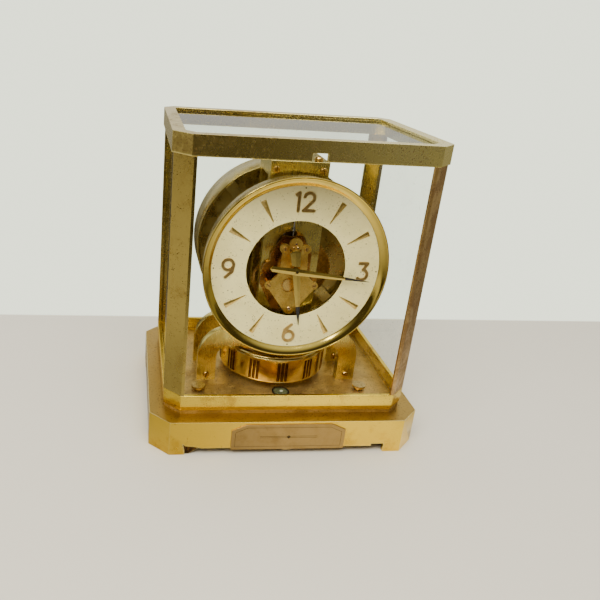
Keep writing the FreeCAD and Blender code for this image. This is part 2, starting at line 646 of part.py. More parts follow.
def make_plates():
    """Gilt front bridge, back plate, cocks, pillars and screws of the movement."""
    hole = "arbor + clearance"
    bridge = plate("bridge_blank", [
        [[(-10.5, 131), (10.5, 131), (9.5, 148), (-9.5, 148)]],
        [[(-10.5, 131.2), (-12, 128.6), (-17, 123.6), (-17.4, 118), (-3.6, 99.5), (3.6, 99.5), (17.4, 118),
          (17, 123.6), (12, 128.6), (10.5, 131.2)]],
        [(0, 153.4, 5)], [(-8, 150, 3.7)], [(8, 150, 3.7)], [(-17.5, 121, 3)], [(17.5, 121, 3)],
        [("0", "escape_height", 4)]],
        "bridge_front + plate_thickness", "plate_thickness")
    back = "bridge_front + plate_thickness + 1"
    through = "plate_thickness + 2"
    window = rod(5.6, ("motion_x", "bridge_front + 1.4", "motion_height"), 3, UPRIGHT)
    cuts = [window, rod("2.6 + clearance * 2", (0, back, "axis_height"), through, UPRIGHT),
            rod(hole, ("motion_x", back, "motion_height"), through, UPRIGHT),
            rod(hole, (0, back, "escape_height"), through, UPRIGHT)]
    keep(without(bridge, cuts), "front_bridge")

    rear = plate("back_blank", [
        [[(-11, 97), (11, 97), (22.5, 118), (22.5, 124), (16, 128), (16, 142), (8, 156), (-8, 156),
          (-16, 142), (-16, 128), (-22.5, 124), (-22.5, 118)]],
        [(-14.5, 129.7, 7)]],
        "frame_front", "plate_thickness")
    back = "frame_front + 1"
    cuts = [rod("1 + clearance", (0, back, "axis_height"), through, UPRIGHT),
            rod(hole, ("second_x", back, "second_height"), through, UPRIGHT),
            rod("1.4", (0, back, "escape_height"), through, UPRIGHT)]
    span = "frame_front - bridge_front - plate_thickness"
    pillars = [rod(1.3, (x, "frame_front", z), span, UPRIGHT) for x, z in BRIDGE_POSTS]
    stud = rod("arbor", (0, "frame_front", "idler_height"), 7.2, UPRIGHT)
    keep(joined([without(rear, cuts), stud] + pillars), "back_plate")

    outline = [(-21, 136), (-15, 142), (-12, 138), (-7, 118), (-10, 115), (-13, 118)]
    arm = plate("cock_arm", [[outline]], -8, 1.6)
    foot = rod(2, (-17, -9.6, 138), "-9.6 - (frame_front + frame_thickness)", UPRIGHT)
    second_hole = rod(hole, ("second_x", -7, "second_height"), 4, UPRIGHT)
    keep(without(joined([arm, foot]), [second_hole]), "train_cock")
    cock = plate("pallet_blank", [[[(-10, 80), (10, 80), (10, 85), (3, 90), (3, 104), (-3, 104), (-3, 90),
                                   (-10, 85)]]], -8, 1.6)
    feet = [rod(1.6, (x, -9.6, 82), "-9.6 - (frame_front + frame_thickness)", UPRIGHT) for x in (-8, 8)]
    cuts = [rod(hole, (0, -7, place_of), 4, UPRIGHT) for place_of in ("escape_height", "pallet_height")]
    keep(without(joined([cock] + feet), cuts), "pallet_cock")

    keep(turned("index_needle", [(0, 0), (0.5, 0), (0.5, 3.6), (1.3, 4.6), (1.3, 5.8), (0.8, 7), (0.6, 12),
                                 (0.1, 19), (0, 19)], (0, -25.5, 156)), "index_needle")


# ---------------------------------------------------------------- dial and hands

def stroke(points, width, thickness):
    """A line of constant width with round ends and joints."""
    parts = []
    for start, end in zip(points, points[1:]):
        run = math.dist(start, end)
        bar = Part.makeBox(run, width, thickness, Vector(0, -width / 2, 0))
        bar.Placement = Placement(Vector(*start, 0), Rotation(Vector(0, 0, 1), towards(start, end)))
        parts.append(bar)
        parts.append(Part.makeCylinder(width / 2, thickness, Vector(*end, 0)))
    return parts


def arc_stroke(centre, radius, start, end, width, thickness):
    """Part of a ring, from one angle to another."""
    ring = Part.makeCylinder(radius + width / 2, thickness, Vector(*centre, 0), Vector(0, 0, 1), end - start)
    ring.rotate(Vector(*centre, 0), Vector(0, 0, 1), start)
    return ring.cut(Part.makeCylinder(radius - width / 2, thickness, Vector(*centre, 0)))


def digit(which, thickness=0.6, width=2.2):
    """A plain numeral about 15 mm tall, centred on the origin."""
    bowl = 3.6
    if which == "1":
        parts = stroke([(-2.2, 4.6), (0.6, 6.6), (0.6, -6.6)], width, thickness)
    elif which == "2":
        parts = [arc_stroke((0, 3), bowl, -35, 180, width, thickness)]
        parts += stroke([(3.0, 1.0), (-3.6, -6.2), (4.2, -6.2)], width, thickness)
    elif which == "3":
        parts = stroke([(-3.6, 6.4), (3.4, 6.4), (0.4, 1.4)], width, thickness)
        parts.append(arc_stroke((0, -2.6), 4, -150, 90, width, thickness))
    else:
        parts = [arc_stroke((0, -3), 4, 0, 360, width, thickness)]
        parts += stroke([(-4, -3), (-3.2, 2.2), (1.6, 6.6)], width, thickness)
    return parts[0].fuse(parts[1:]).removeSplitter()


def make_dial():
    """Open dial with four numerals and eight batons, its bezel, edge ring and case."""
    back = "dial_front + dial_thickness"
    keep(plate("dial_ring", [[(0, "dial_height", "dial_radius"), (0, "dial_height", "dial_hole")]],
               back, "dial_thickness"), "dial_ring")
    numerals = []
    for name, offset, turn in (("1", (-4.6, 51.3), 0), ("2", (3.4, 51.3), 0), ("3", (50.6, 0), 0),
                               ("6", (0, -51), 0), ("6", (-50.8, 0), 180)):
        at = (offset[0], size("dial_front"), size("dial_height") + offset[1])
        numerals.append(feature(digit(name), "numeral", at, UPRIGHT * Rotation(Vector(0, 0, 1), turn)))
    group(numerals, "dial_numerals")
    batons = []
    for hour in (1, 2, 4, 5, 7, 8, 10, 11):
        wedge = Part.Face(Part.makePolygon([Vector(*corner, 0) for corner in (
            (41.5, -0.3), (59, -2.1), (59, 2.1), (41.5, 0.3), (41.5, -0.3))])).extrude(Vector(0, 0, 0.8))
        batons.append(feature(wedge, "baton", (0, size("dial_front"), size("dial_height")),
                              UPRIGHT * Rotation(Vector(0, 0, 1), 90 - 30 * hour)))
    group(batons, "dial_batons")

    at = (0, back, "dial_height")
    keep(turned("bezel", [
        ("dial_radius + 0.2", 0), ("bezel_radius - 0.5", 0), ("bezel_radius", 0.5),
        ("bezel_radius", "bezel_rise - 0.6"), ("bezel_radius - 0.8", "bezel_rise"),
        ("dial_radius + 0.6", 1.4), ("dial_radius + 0.2", 1.2)], at, UPRIGHT), "bezel")
    keep(turned("coin_edge", [("dial_case_radius", "-edge_depth"), ("bezel_radius - 0.4", "-edge_depth"),
                              ("bezel_radius - 0.4", 0), ("dial_case_radius", 0)], at, UPRIGHT), "coin_edge")
    wall = 1.4
    shell = turned("dial_shell", [
        ("dial_hole + 6", "-dial_case_depth"), ("dial_case_radius", "-dial_case_depth"),
        ("dial_case_radius", 0), (f"dial_case_radius - {wall}", 0),
        (f"dial_case_radius - {wall}", f"{wall} - dial_case_depth"),
        ("dial_hole + 6", f"{wall} - dial_case_depth")], at, UPRIGHT)
    length = "frame_front - dial_front - dial_thickness"
    posts = [rod(2, (side, "frame_front", height), length, UPRIGHT)
             for side in (-17, 17) for height in (84, 189)]
    keep(joined([shell] + posts), "dial_case")


def make_hands():
    """Minute hand in front of the hour hand, on their pipes."""
    minute = new_body("minute_hand")
    pad(minute, [[("-minute_tail", 0), ("1.8 - minute_tail", -2.1), (0, -2.6), ("minute_length - 18", -1.2),
                  ("minute_length", -0.15), ("minute_length", 0.15), ("minute_length - 18", 1.2),
                  (0, 2.6), ("1.8 - minute_tail", 2.1)], (0, 0, 1)], "hand_thickness")
    place(minute, (0, "minute_back", "axis_height"), UPRIGHT * Rotation(Vector(0, 0, 1), MINUTE_ANGLE))
    keep(minute, "minute_hand")
    hour = new_body("hour_hand")
    pad(hour, [[("-hour_tail", 0), ("1.4 - hour_tail", -4), (0, -2.9), ("hour_length - 15", -1.6),
                ("hour_length", -0.15), ("hour_length", 0.15), ("hour_length - 15", 1.6), (0, 2.9),
                ("1.4 - hour_tail", 4)], (0, 0, 2.6)], "hand_thickness")
    place(hour, (0, "hour_back", "axis_height"), UPRIGHT * Rotation(Vector(0, 0, 1), HOUR_ANGLE))
    keep(hour, "hour_hand")


# ---------------------------------------------------------------- balance

def make_balance():
    """Heavy fluted ring on a spider, hung from a torsion wire."""
    height = "balance_top - balance_bottom"
    ring = new_body("balance_ring")
    pad(ring, [(0, 0, "balance_radius"), (0, 0, "balance_radius - balance_wall")], height)
    flutes = sketch_on(ring, "XY_Plane", "flutes")
    for step in (-4, 0, 4):
        turn = math.radians(step + 90)
        draw_circle(flutes, f"(balance_radius + 0.4) * {math.cos(turn):.5f}",
                    f"(balance_radius + 0.4) * {math.sin(turn):.5f}", "flute_radius")
    grooves = ring.newObject("PartDesign::Pocket", "grooves")
    grooves.Profile = flutes
    grooves.Reversed = True
    grooves.setExpression("Length", bound(f"{height} - 2"))
    pattern = ring.newObject("PartDesign::PolarPattern", "flute_pattern")
    pattern.Originals = [grooves]
    pattern.Axis = (flutes, ["N_Axis"])
    pattern.Angle = 360
    pattern.Occurrences = 12
    ring.Tip = pattern
    place(ring, (0, "balance_y", "balance_bottom"))
    keep(ring, "balance_ring")

    inner = "balance_radius - balance_wall"
    spokes = [box((f"-({inner}) + 0.4", f"{inner} - 0.4"), ("balance_y - 3", "balance_y + 3"), (48, 51)),
              box((-3, 3), (f"balance_y - ({inner}) + 0.4", f"balance_y + {inner} - 0.4"), (48, 51)),
              rod(9, (0, "balance_y", 46), 7)]
    rim = without(rod(inner, (0, "balance_y", 47), 5), [rod(f"{inner} - 3", (0, "balance_y", 46), 7)])
    keep(without(joined(spokes + [rim]), [rod(2.5, (0, "balance_y", 45), 10)]), "balance_spider")
    staff = joined([rod(2.5, (0, "balance_y", 44.5), 28), rod(5.6, (0, "balance_y", 72.4), 1.6),
                    rod(2, (0, "balance_y", 73), 11), rod(0.5, (0, "balance_y - 5", 73.8), 1.8)])
    bore = rod("wire_radius + clearance", (0, "balance_y", 80), 5)
    keep(without(staff, [bore]), "balance_staff")
    keep(rod("wire_radius", (0, "balance_y", 80.4), "190 - 80.4"), "torsion_wire")


def make_controls():
    """Balance lock and levelling screws in the base."""
    plunger = joined([rod(2.5, (0, "balance_y", 10.3), 26), rod(6, (0, "balance_y", 36), 1.6)])
    keep(plunger, "lock_plunger")
    arm = box((-3, 3), ("2 - base_depth / 2", -14), (2, 4.4))
    boss = rod(6, (0, -14, 2), 8)
    cam = box((-2, 2), (-14, -1), (8, 10))
    keep(without(joined([arm, boss, cam]), [rod("2 + clearance", (0, -14, 1), 10)]), "lock_lever")
    for name, side in (("levelling_screw_left", "-screw_x"), ("levelling_screw_right", "screw_x")):
        shank = rod(3, (side, "screw_y", 1), "deck_top + 1.4")
        parts = [shank, rod(9, (side, "screw_y", 1), 5), rod(5.5, (side, "screw_y", "deck_top + 2.4"), 1.8)]
        keep(joined(parts), name)


def check_document():
    """Stops with a message when any object failed or any sub-part isn't sound."""
    for item in doc.Objects:
        if "Invalid" in item.State or "Error" in item.State:
            raise SystemExit(f"{item.Label} ({item.Name}) failed: {item.State}")
    for item in nodes:
        if item.Shape.isNull() or not item.Shape.isValid() or item.Shape.Volume <= 0:
            raise SystemExit(f"{item.Label} has no sound shape")


make_base()
make_rails()
make_glazing()
make_bracket()
make_bellows()
make_train()
make_lever()
make_plates()
make_dial()
make_hands()
make_balance()
make_controls()

doc.recompute()
check_document()
os.makedirs("parts", exist_ok=True)
for item in nodes:
    item.Shape.exportStep(f"parts/{item.Label}.step")
    print(f"{item.Label:24s} {len(item.Shape.Solids):3d} solid(s) {item.Shape.Volume:12.1f} mm3")
print(len(nodes), "sub-parts")
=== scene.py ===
"""Looks of the anniversary clock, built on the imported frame.

Places and sizes are read from the frame's own boxes. Lengths written here are millimetres and are
turned into metres by MM. Materials are procedural and follow the object's own coordinates.
"""

import math
import random

import bmesh
import bpy
from mathutils import Matrix, Vector


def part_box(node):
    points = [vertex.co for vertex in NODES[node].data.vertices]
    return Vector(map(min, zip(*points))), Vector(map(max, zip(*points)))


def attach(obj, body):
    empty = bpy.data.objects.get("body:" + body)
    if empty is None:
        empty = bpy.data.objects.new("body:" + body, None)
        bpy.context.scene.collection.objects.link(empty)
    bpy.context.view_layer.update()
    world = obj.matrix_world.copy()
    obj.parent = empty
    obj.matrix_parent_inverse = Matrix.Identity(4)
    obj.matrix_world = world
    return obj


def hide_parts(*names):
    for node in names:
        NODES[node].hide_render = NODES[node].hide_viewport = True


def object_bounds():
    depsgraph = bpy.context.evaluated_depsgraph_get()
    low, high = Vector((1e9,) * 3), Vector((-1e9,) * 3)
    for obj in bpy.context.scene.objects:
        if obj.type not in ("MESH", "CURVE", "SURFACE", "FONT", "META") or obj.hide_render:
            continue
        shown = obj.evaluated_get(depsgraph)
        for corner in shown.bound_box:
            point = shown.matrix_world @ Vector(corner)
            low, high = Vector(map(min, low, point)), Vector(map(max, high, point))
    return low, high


MM = 0.001
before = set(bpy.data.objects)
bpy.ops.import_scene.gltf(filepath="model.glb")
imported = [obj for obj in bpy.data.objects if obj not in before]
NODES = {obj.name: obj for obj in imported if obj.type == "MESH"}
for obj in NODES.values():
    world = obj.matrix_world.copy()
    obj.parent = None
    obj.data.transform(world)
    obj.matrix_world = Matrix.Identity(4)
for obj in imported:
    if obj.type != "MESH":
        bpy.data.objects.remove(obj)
cad_low, cad_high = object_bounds()
HOURS_WITH_BATONS = (1, 2, 4, 5, 7, 8, 10, 11)
HOURS_WITH_DOTS = (0, 3, 6, 9)
RAIL_STEP_HEIGHT = 34.7
RING_WALL = 7.5
FLUTE_DEPTH = 0.8
FLUTE_PLACES = (0, 4, 26, 30)
DEGREES_BETWEEN_FLUTES = 30

# The wall's tone on camera and as metal sees it, and where the table meets the wall.
WALL_SEEN = (0.85, 0.84, 0.70)
WALL_TONE = (1.95, 2.05, 1.62)
TABLE_END = (163, 167)
# The table fades for mirrored rays with the distance from a point just in front of the clock.
FADE_CENTRE = (50, -90)
FADE_START, FADE_LENGTH = 60, 360
DIM_ROOM, DIM_ROOM_RIGHT = (0.055, 0.045, 0.03), (0.30, 0.27, 0.16)

LAMPS = (
    ("key", (-0.55, -0.75, 1.15), 0.7, 19.0, (1.0, 0.96, 0.88)),
    ("ceiling", (0.2, -0.58, 1.2), 0.6, 7.0, (1.0, 0.98, 0.93)),
    ("top", (0.1, 0.25, 1.3), 1.2, 8.0, (1.0, 1.0, 0.94)))
LAMP_TARGET = (0, 0, 0.1)
CAMERA_PLACE = (-0.1219, -0.4767, 0.2983)
CAMERA_TURN = (1.178, -0.0677, -0.1184)
LENS_LENGTH, LENS_SHIFT = 38.557, (0.14, -0.0137)

# Width in millimetres of the rounded edge of each CAD node that is drawn as it is.
EDGE_WIDTHS = {
    0.9: ("base_plinth",),
    0.4: ("bottom_rail", "drum_cap"),
    0.5: ("top_rail", "top_block"),
    0.15: ("plaque", "level_cup", "balance_staff", "train_cock", "pallet_cock", "mainspring_barrel",
           "glass_left", "glass_right", "glass_rear", "glass_top"),
    0.3: ("pillar_front_left", "pillar_front_right", "pillar_rear_left", "pillar_rear_right",
          "bellows_drum", "levelling_screw_left", "levelling_screw_right"),
    2.0: ("front_bracket", "rear_bracket"),
    0.25: ("front_bridge", "back_plate"),
    0.14: ("dial_numerals",),
    0.12: ("dial_ring",),
    0.2: ("deck_plate", "lock_lever", "lock_plunger", "balance_spider", "dial_case"),
}


# ---------------------------------------------------------------- materials

class Paint:
    """One procedural material. Textures are measured in millimetres on the object."""

    def __init__(self, name):
        self.material = bpy.data.materials.new(name)
        self.material.use_nodes = True
        self.tree = self.material.node_tree
        self.tree.nodes.clear()
        self.output = self.add("ShaderNodeOutputMaterial")
        place = self.add("ShaderNodeTexCoord")
        scaled = self.add("ShaderNodeVectorMath", operation="SCALE")
        scaled.inputs["Scale"].default_value = 1000
        self.link(place.outputs["Object"], scaled.inputs[0])
        self.at = scaled.outputs[0]
        self.axes = None

    def add(self, kind, **settings):
        node = self.tree.nodes.new(kind)
        for key, value in settings.items():
            setattr(node, key, value)
        return node

    def link(self, value, socket):
        """Feeds a socket from an output, or sets it to a constant."""
        if isinstance(value, bpy.types.NodeSocket):
            self.tree.links.new(value, socket)
        elif isinstance(value, tuple) and len(value) == 3 and socket.type == "RGBA":
            socket.default_value = (*value, 1)
        else:
            socket.default_value = value

    def stretched(self, factors, shift=(0, 0, 0)):
        """The place, stretched along the axes, so that a texture becomes streaks."""
        node = self.add("ShaderNodeVectorMath", operation="MULTIPLY_ADD")
        self.link(self.at, node.inputs[0])
        node.inputs[1].default_value = factors
        node.inputs[2].default_value = shift
        return node.outputs[0]

    def axis(self, letter):
        if self.axes is None:
            self.axes = self.add("ShaderNodeSeparateXYZ")
            self.link(self.at, self.axes.inputs[0])
        return self.axes.outputs[letter.upper()]

    def noise(self, scale, detail=4, rough=0.55, at=None, warp=0.0):
        node = self.add("ShaderNodeTexNoise")
        self.link(at or self.at, node.inputs["Vector"])
        node.inputs["Scale"].default_value = scale
        node.inputs["Detail"].default_value = detail
        node.inputs["Roughness"].default_value = rough
        node.inputs["Distortion"].default_value = warp
        return node.outputs[0]

    def cells(self, scale):
        node = self.add("ShaderNodeTexVoronoi", feature="F1")
        self.link(self.at, node.inputs["Vector"])
        node.inputs["Scale"].default_value = scale
        return node.outputs["Distance"]

    def maths(self, operation, first, second=0.0, clamp=False):
        node = self.add("ShaderNodeMath", operation=operation, use_clamp=clamp)
        self.link(first, node.inputs[0])
        self.link(second, node.inputs[1])
        return node.outputs[0]

    def ramp(self, value, low, high, start=0.0, end=1.0):
        """Moves smoothly from start to end as value goes from low to high."""
        node = self.add("ShaderNodeMapRange", interpolation_type="SMOOTHSTEP")
        self.link(value, node.inputs["Value"])
        for name, number in (("From Min", low), ("From Max", high), ("To Min", start), ("To Max", end)):
            node.inputs[name].default_value = number
        return node.outputs[0]

    def blend(self, share, first, second):
        """Mixes two colours."""
        node = self.add("ShaderNodeMix", data_type="RGBA")
        self.link(share, node.inputs[0])
        self.link(first, node.inputs[6])
        self.link(second, node.inputs[7])
        return node.outputs[2]

    def edges(self, radius):
        """High along sharp edges, where polish wears through and where painted edge highlights are laid."""
        rounded = self.add("ShaderNodeBevel", samples=6)
        rounded.inputs["Radius"].default_value = radius * MM
        flat = self.add("ShaderNodeNewGeometry")
        dot = self.add("ShaderNodeVectorMath", operation="DOT_PRODUCT")
        self.link(rounded.outputs[0], dot.inputs[0])
        self.link(flat.outputs["Normal"], dot.inputs[1])
        return self.ramp(dot.outputs["Value"], 0.99, 0.86)

    def bump(self, height, strength, depth):
        node = self.add("ShaderNodeBump")
        self.link(height, node.inputs["Height"])
        node.inputs["Strength"].default_value = strength
        node.inputs["Distance"].default_value = depth * MM
        return node.outputs[0]

    def finish(self, colour, rough, metal=1.0, normal=None, **others):
        shader = self.add("ShaderNodeBsdfPrincipled")
        self.link(colour, shader.inputs["Base Color"])
        self.link(rough, shader.inputs["Roughness"])
        self.link(metal, shader.inputs["Metallic"])
        if normal is not None:
            self.link(normal, shader.inputs["Normal"])
        for name, value in others.items():
            self.link(value, shader.inputs[name.replace("_", " ")])
        self.link(shader.outputs[0], self.output.inputs["Surface"])
        return self.material


def brass(name, light, dull, rough, stain, patch, specks, brush=None, brush_depth=0.02, edge_wear_and_highlight=0.0,
          top_tone=None, scar=None):
    """Lacquered brass: clean tone, duller patches, small dark specks and optional brushing.

    Stain is the range over which the patches set in, patch their scale, and specks the level above
    which specks appear. A brush stretches the streaks along the axes. Flat tops can have a tone of
    their own. A scar is a place and its half sizes, in millimetres, where the metal is torn and
    burnt brown.
    """
    speck_tone = (0.09, 0.05, 0.02)
    paint = Paint(name)
    broad = paint.noise(patch, 6, 0.6, warp=0.6)
    fine = paint.noise(patch * 9, 4, 0.6)
    both = paint.maths("ADD", paint.maths("MULTIPLY", broad, 0.75), paint.maths("MULTIPLY", fine, 0.25))
    patches = paint.ramp(both, *stain)
    colour = paint.blend(patches, light, dull)
    dots = paint.ramp(paint.noise(1.1, 2, 0.5), specks, specks + 0.07)
    near = paint.ramp(paint.noise(patch * 2.2, 3, 0.5), 0.42, 0.62)
    dots = paint.maths("MULTIPLY", dots, near)
    colour = paint.blend(dots, colour, speck_tone)
    gloss = paint.maths("ADD", paint.maths("MULTIPLY", patches, 0.16), rough)
    gloss = paint.maths("ADD", gloss, paint.maths("MULTIPLY", dots, 0.3))
    smudge = paint.ramp(paint.noise(0.12, 5, 0.65), 0.35, 0.75, -0.03, 0.07)
    gloss = paint.maths("ADD", gloss, smudge, clamp=True)
    height = paint.maths("MULTIPLY", dots, -1.0)
    if top_tone:
        up = paint.add("ShaderNodeSeparateXYZ")
        paint.link(paint.add("ShaderNodeNewGeometry").outputs["True Normal"], up.inputs[0])
        flat = paint.ramp(up.outputs["Z"], 0.9, 0.99)
        colour = paint.blend(flat, colour, top_tone)
        grit = paint.ramp(paint.noise(0.7, 5, 0.65), 0.58, 0.66)
        colour = paint.blend(paint.maths("MULTIPLY", grit, flat), colour, speck_tone)
        gloss = paint.maths("ADD", gloss, paint.maths("MULTIPLY", flat, 0.2))
    if scar:
        inside = 1.0
        for letter, spot, half in zip("xyz", *scar):
            away = paint.maths("ABSOLUTE", paint.maths("SUBTRACT", paint.axis(letter), spot))
            inside = paint.maths("MULTIPLY", inside, paint.ramp(away, half, half * 0.8))
        soot = paint.ramp(paint.noise(0.6, 5, 0.65), 0.4, 0.6)
        burnt = paint.blend(soot, (0.16, 0.075, 0.02), (0.04, 0.02, 0.01))
        colour = paint.blend(inside, colour, burnt)
    # Sharp edges lightened to pale gold: partly worn lacquer, partly a painted edge highlight.
    if edge_wear_and_highlight:
        rim = paint.maths("MULTIPLY", paint.edges(0.8), edge_wear_and_highlight)
        colour = paint.blend(rim, colour, (1.0, 0.93, 0.45))
    if brush:
        streaks = paint.noise(1.0, 3, 0.6, at=paint.stretched(brush))
        height = paint.maths("ADD", height, streaks)
        gloss = paint.maths("ADD", gloss, paint.ramp(streaks, 0.3, 0.7, -0.05, 0.08), clamp=True)
    return paint.finish(colour, gloss, normal=paint.bump(height, 0.35, brush_depth))


def rail_brass(name, step, light, low_tone, dull):
    """The bottom rail: a paler upper band, an amber lower band and a dark line between them."""
    paint = Paint(name)
    level = paint.axis("z")
    wobble = paint.maths("ADD", level, paint.ramp(paint.noise(0.3, 4), 0.3, 0.7, -0.25, 0.25))
    lower = paint.ramp(wobble, step, step - 0.3)
    seam = paint.maths("MULTIPLY", paint.ramp(wobble, step - 0.7, step - 0.2),
                       paint.ramp(wobble, step + 0.35, step))
    colour = paint.blend(lower, light, low_tone)
    patches = paint.ramp(paint.noise(0.05, 6, 0.65), 0.5, 0.72)
    colour = paint.blend(patches, colour, dull)
    dots = paint.ramp(paint.noise(0.9, 3, 0.55), 0.62, 0.68)
    colour = paint.blend(paint.maths("MULTIPLY", dots, 0.7), colour, (0.12, 0.06, 0.02))
    colour = paint.blend(paint.maths("MULTIPLY", seam, 0.55), colour, (0.10, 0.06, 0.02))
    gloss = paint.maths("ADD", paint.maths("MULTIPLY", patches, 0.18), 0.2)
    height = paint.maths("ADD", dots, paint.noise(0.5, 4))
    return paint.finish(colour, gloss, normal=paint.bump(height, 0.2, 0.05))


def pitted_brass(name):
    """The top rail: olive gold, mottled with brown pits, lightened by painted light to the right and with a
    painted highlight along its lower edge.
    """
    paint = Paint(name)
    broad = paint.noise(0.035, 6, 0.65, warp=0.8)
    mottle = paint.noise(0.22, 6, 0.7, warp=0.4)
    both = paint.maths("ADD", paint.maths("MULTIPLY", broad, 0.55), paint.maths("MULTIPLY", mottle, 0.45))
    patches = paint.ramp(both, 0.44, 0.6)
    colour = paint.blend(patches, (0.68, 0.54, 0.17), (0.38, 0.28, 0.08))
    # Painted light: the rail is lightened towards its right end.
    right = paint.maths("MULTIPLY", paint.ramp(paint.axis("x"), -40, 70), 0.75)
    colour = paint.blend(right, colour, (1.0, 0.90, 0.42))
    pits = paint.ramp(paint.noise(0.75, 5, 0.65), 0.55, 0.63)
    thick = paint.ramp(broad, 0.38, 0.6)
    pits = paint.maths("MULTIPLY", pits, thick)
    colour = paint.blend(pits, colour, (0.20, 0.12, 0.035))
    # Painted highlight: a bright band along the rail's lower edge.
    painted_edge_highlight = paint.ramp(paint.axis("z"), 222.4, 221.4)
    colour = paint.blend(painted_edge_highlight, colour, (1.0, 0.85, 0.30))
    gloss = paint.maths("ADD", paint.maths("MULTIPLY", pits, 0.35),
                        paint.maths("ADD", paint.maths("MULTIPLY", patches, 0.1), 0.24))
    height = paint.maths("MULTIPLY", pits, -1.0)
    return paint.finish(colour, gloss, normal=paint.bump(height, 0.5, 0.08))


def cream_silver():
    """The dial ring: matte silvered cream with painted shade above and to the right, brown specks and faint
    water stains."""
    paint = Paint("cream_silver")
    clouds = paint.ramp(paint.noise(0.05, 5, 0.6), 0.35, 0.7)
    colour = paint.blend(clouds, (1.0, 0.90, 0.42), (0.88, 0.79, 0.34))
    # Painted shade: the ring darkens towards the right.
    side = paint.ramp(paint.axis("x"), -30, 60)
    colour = paint.blend(paint.maths("MULTIPLY", side, 0.18), colour, (0.50, 0.42, 0.18))
    # Painted shade: the ring darkens towards the top.
    shade = paint.ramp(paint.axis("z"), 160, 200)
    colour = paint.blend(paint.maths("MULTIPLY", shade, 0.65), colour, (0.34, 0.29, 0.14))
    rings = paint.maths("ABSOLUTE", paint.maths("SUBTRACT", paint.noise(0.11, 2, 0.4, warp=0.8), 0.6))
    stain = paint.maths("MULTIPLY", paint.ramp(rings, 0.012, 0.004), 0.22)
    colour = paint.blend(stain, colour, (0.42, 0.35, 0.2))
    for scale, size, low in ((0.2, 0.12, 0.5), (0.42, 0.2, 0.47), (0.8, 0.26, 0.53)):
        grime = paint.maths("MULTIPLY", paint.ramp(paint.cells(scale), size, size * 0.4),
                            paint.ramp(paint.noise(0.16 * scale + 0.03, 3), low, low + 0.06))
        colour = paint.blend(grime, colour, (0.11, 0.065, 0.03))
    grain = paint.noise(5, 3, 0.6)
    gloss = paint.ramp(paint.noise(0.2, 4), 0.3, 0.7, 0.42, 0.55)
    return paint.finish(colour, gloss, 0.1, paint.bump(grain, 0.08, 0.02))


def frosted_gilt():
    """Granular gilding on the movement's plates: dark crevices and bright grains."""
    paint = Paint("frosted_gilt")
    grain = paint.noise(1.0, 5, 0.75)
    tone = paint.ramp(paint.noise(0.16, 5, 0.6), 0.35, 0.7)
    colour = paint.blend(tone, (0.76, 0.53, 0.13), (0.60, 0.38, 0.07))
    colour = paint.blend(paint.ramp(grain, 0.55, 0.66), colour, (0.20, 0.09, 0.012))
    colour = paint.blend(paint.ramp(grain, 0.42, 0.34), colour, (0.90, 0.64, 0.18))
    # Rims lightened to bright gold: partly worn gilding, partly a painted edge highlight.
    rim = paint.maths("MULTIPLY", paint.edges(0.5), 0.8)
    colour = paint.blend(rim, colour, (1.0, 0.74, 0.20))
    return paint.finish(colour, paint.ramp(grain, 0.3, 0.7, 0.22, 0.5), normal=paint.bump(grain, 0.6, 0.3))


def motion_brass():
    """The motion wheel: pale leaves in front and, behind them, a copper rim darkened by painted shade."""
    paint = Paint("motion_brass")
    tone = paint.ramp(paint.noise(0.4, 5, 0.6), 0.35, 0.68)
    step = box_of("motion_wheel")[0].y + 1.15
    # Behind the step the wheel turns dark: copper tone with painted shade.
    leaves = paint.ramp(paint.axis("y"), step, step - 0.1)
    copper_in_painted_shade = paint.blend(tone, (0.26, 0.12, 0.035), (0.14, 0.06, 0.018))
    colour = paint.blend(leaves, copper_in_painted_shade, (0.85, 0.60, 0.20))
    fine = paint.noise(4, 3, 0.6)
    return paint.finish(colour, paint.ramp(fine, 0.3, 0.7, 0.2, 0.35), normal=paint.bump(fine, 0.1, 0.03))


def clear_glass(seed, dusty):
    """Thin clear pane: lamps pass through it, it mirrors a little, and dust specks sit on it."""
    paint = Paint(f"pane_glass_{seed}")
    clear = paint.add("ShaderNodeBsdfTransparent")
    clear.inputs[0].default_value = (0.965, 0.98, 0.965, 1)
    mirror = paint.add("ShaderNodeBsdfGlossy")
    mirror.inputs["Roughness"].default_value = 0.02
    share = paint.add("ShaderNodeFresnel")
    share.inputs["IOR"].default_value = 1.42
    side = paint.add("ShaderNodeNewGeometry")
    front_only = paint.maths("SUBTRACT", 1.0, side.outputs["Backfacing"])
    pane = paint.add("ShaderNodeMixShader")
    paint.link(paint.maths("MULTIPLY", share.outputs[0], front_only), pane.inputs[0])
    paint.link(clear.outputs[0], pane.inputs[1])
    paint.link(mirror.outputs[0], pane.inputs[2])
    dirt = paint.add("ShaderNodeBsdfDiffuse")
    dirt.inputs[0].default_value = (0.30, 0.24, 0.15, 1)
    at = paint.stretched((1, 1, 1), (seed * 37.0, seed * 11.0, seed * 23.0))
    specks = paint.ramp(paint.noise(0.55, 3, 0.55, at=at), 0.735 - dusty * 0.06, 0.765 - dusty * 0.06)
    film = paint.ramp(paint.noise(0.03, 5, 0.6, at=at), 0.45, 0.75, 0.0, 0.035)
    cover = paint.maths("MAXIMUM", paint.maths("MULTIPLY", specks, 0.8), film)
    whole = paint.add("ShaderNodeMixShader")
    paint.link(cover, whole.inputs[0])
    paint.link(pane.outputs[0], whole.inputs[1])
    paint.link(dirt.outputs[0], whole.inputs[2])
    paint.link(whole.outputs[0], paint.output.inputs["Surface"])
    return paint.material


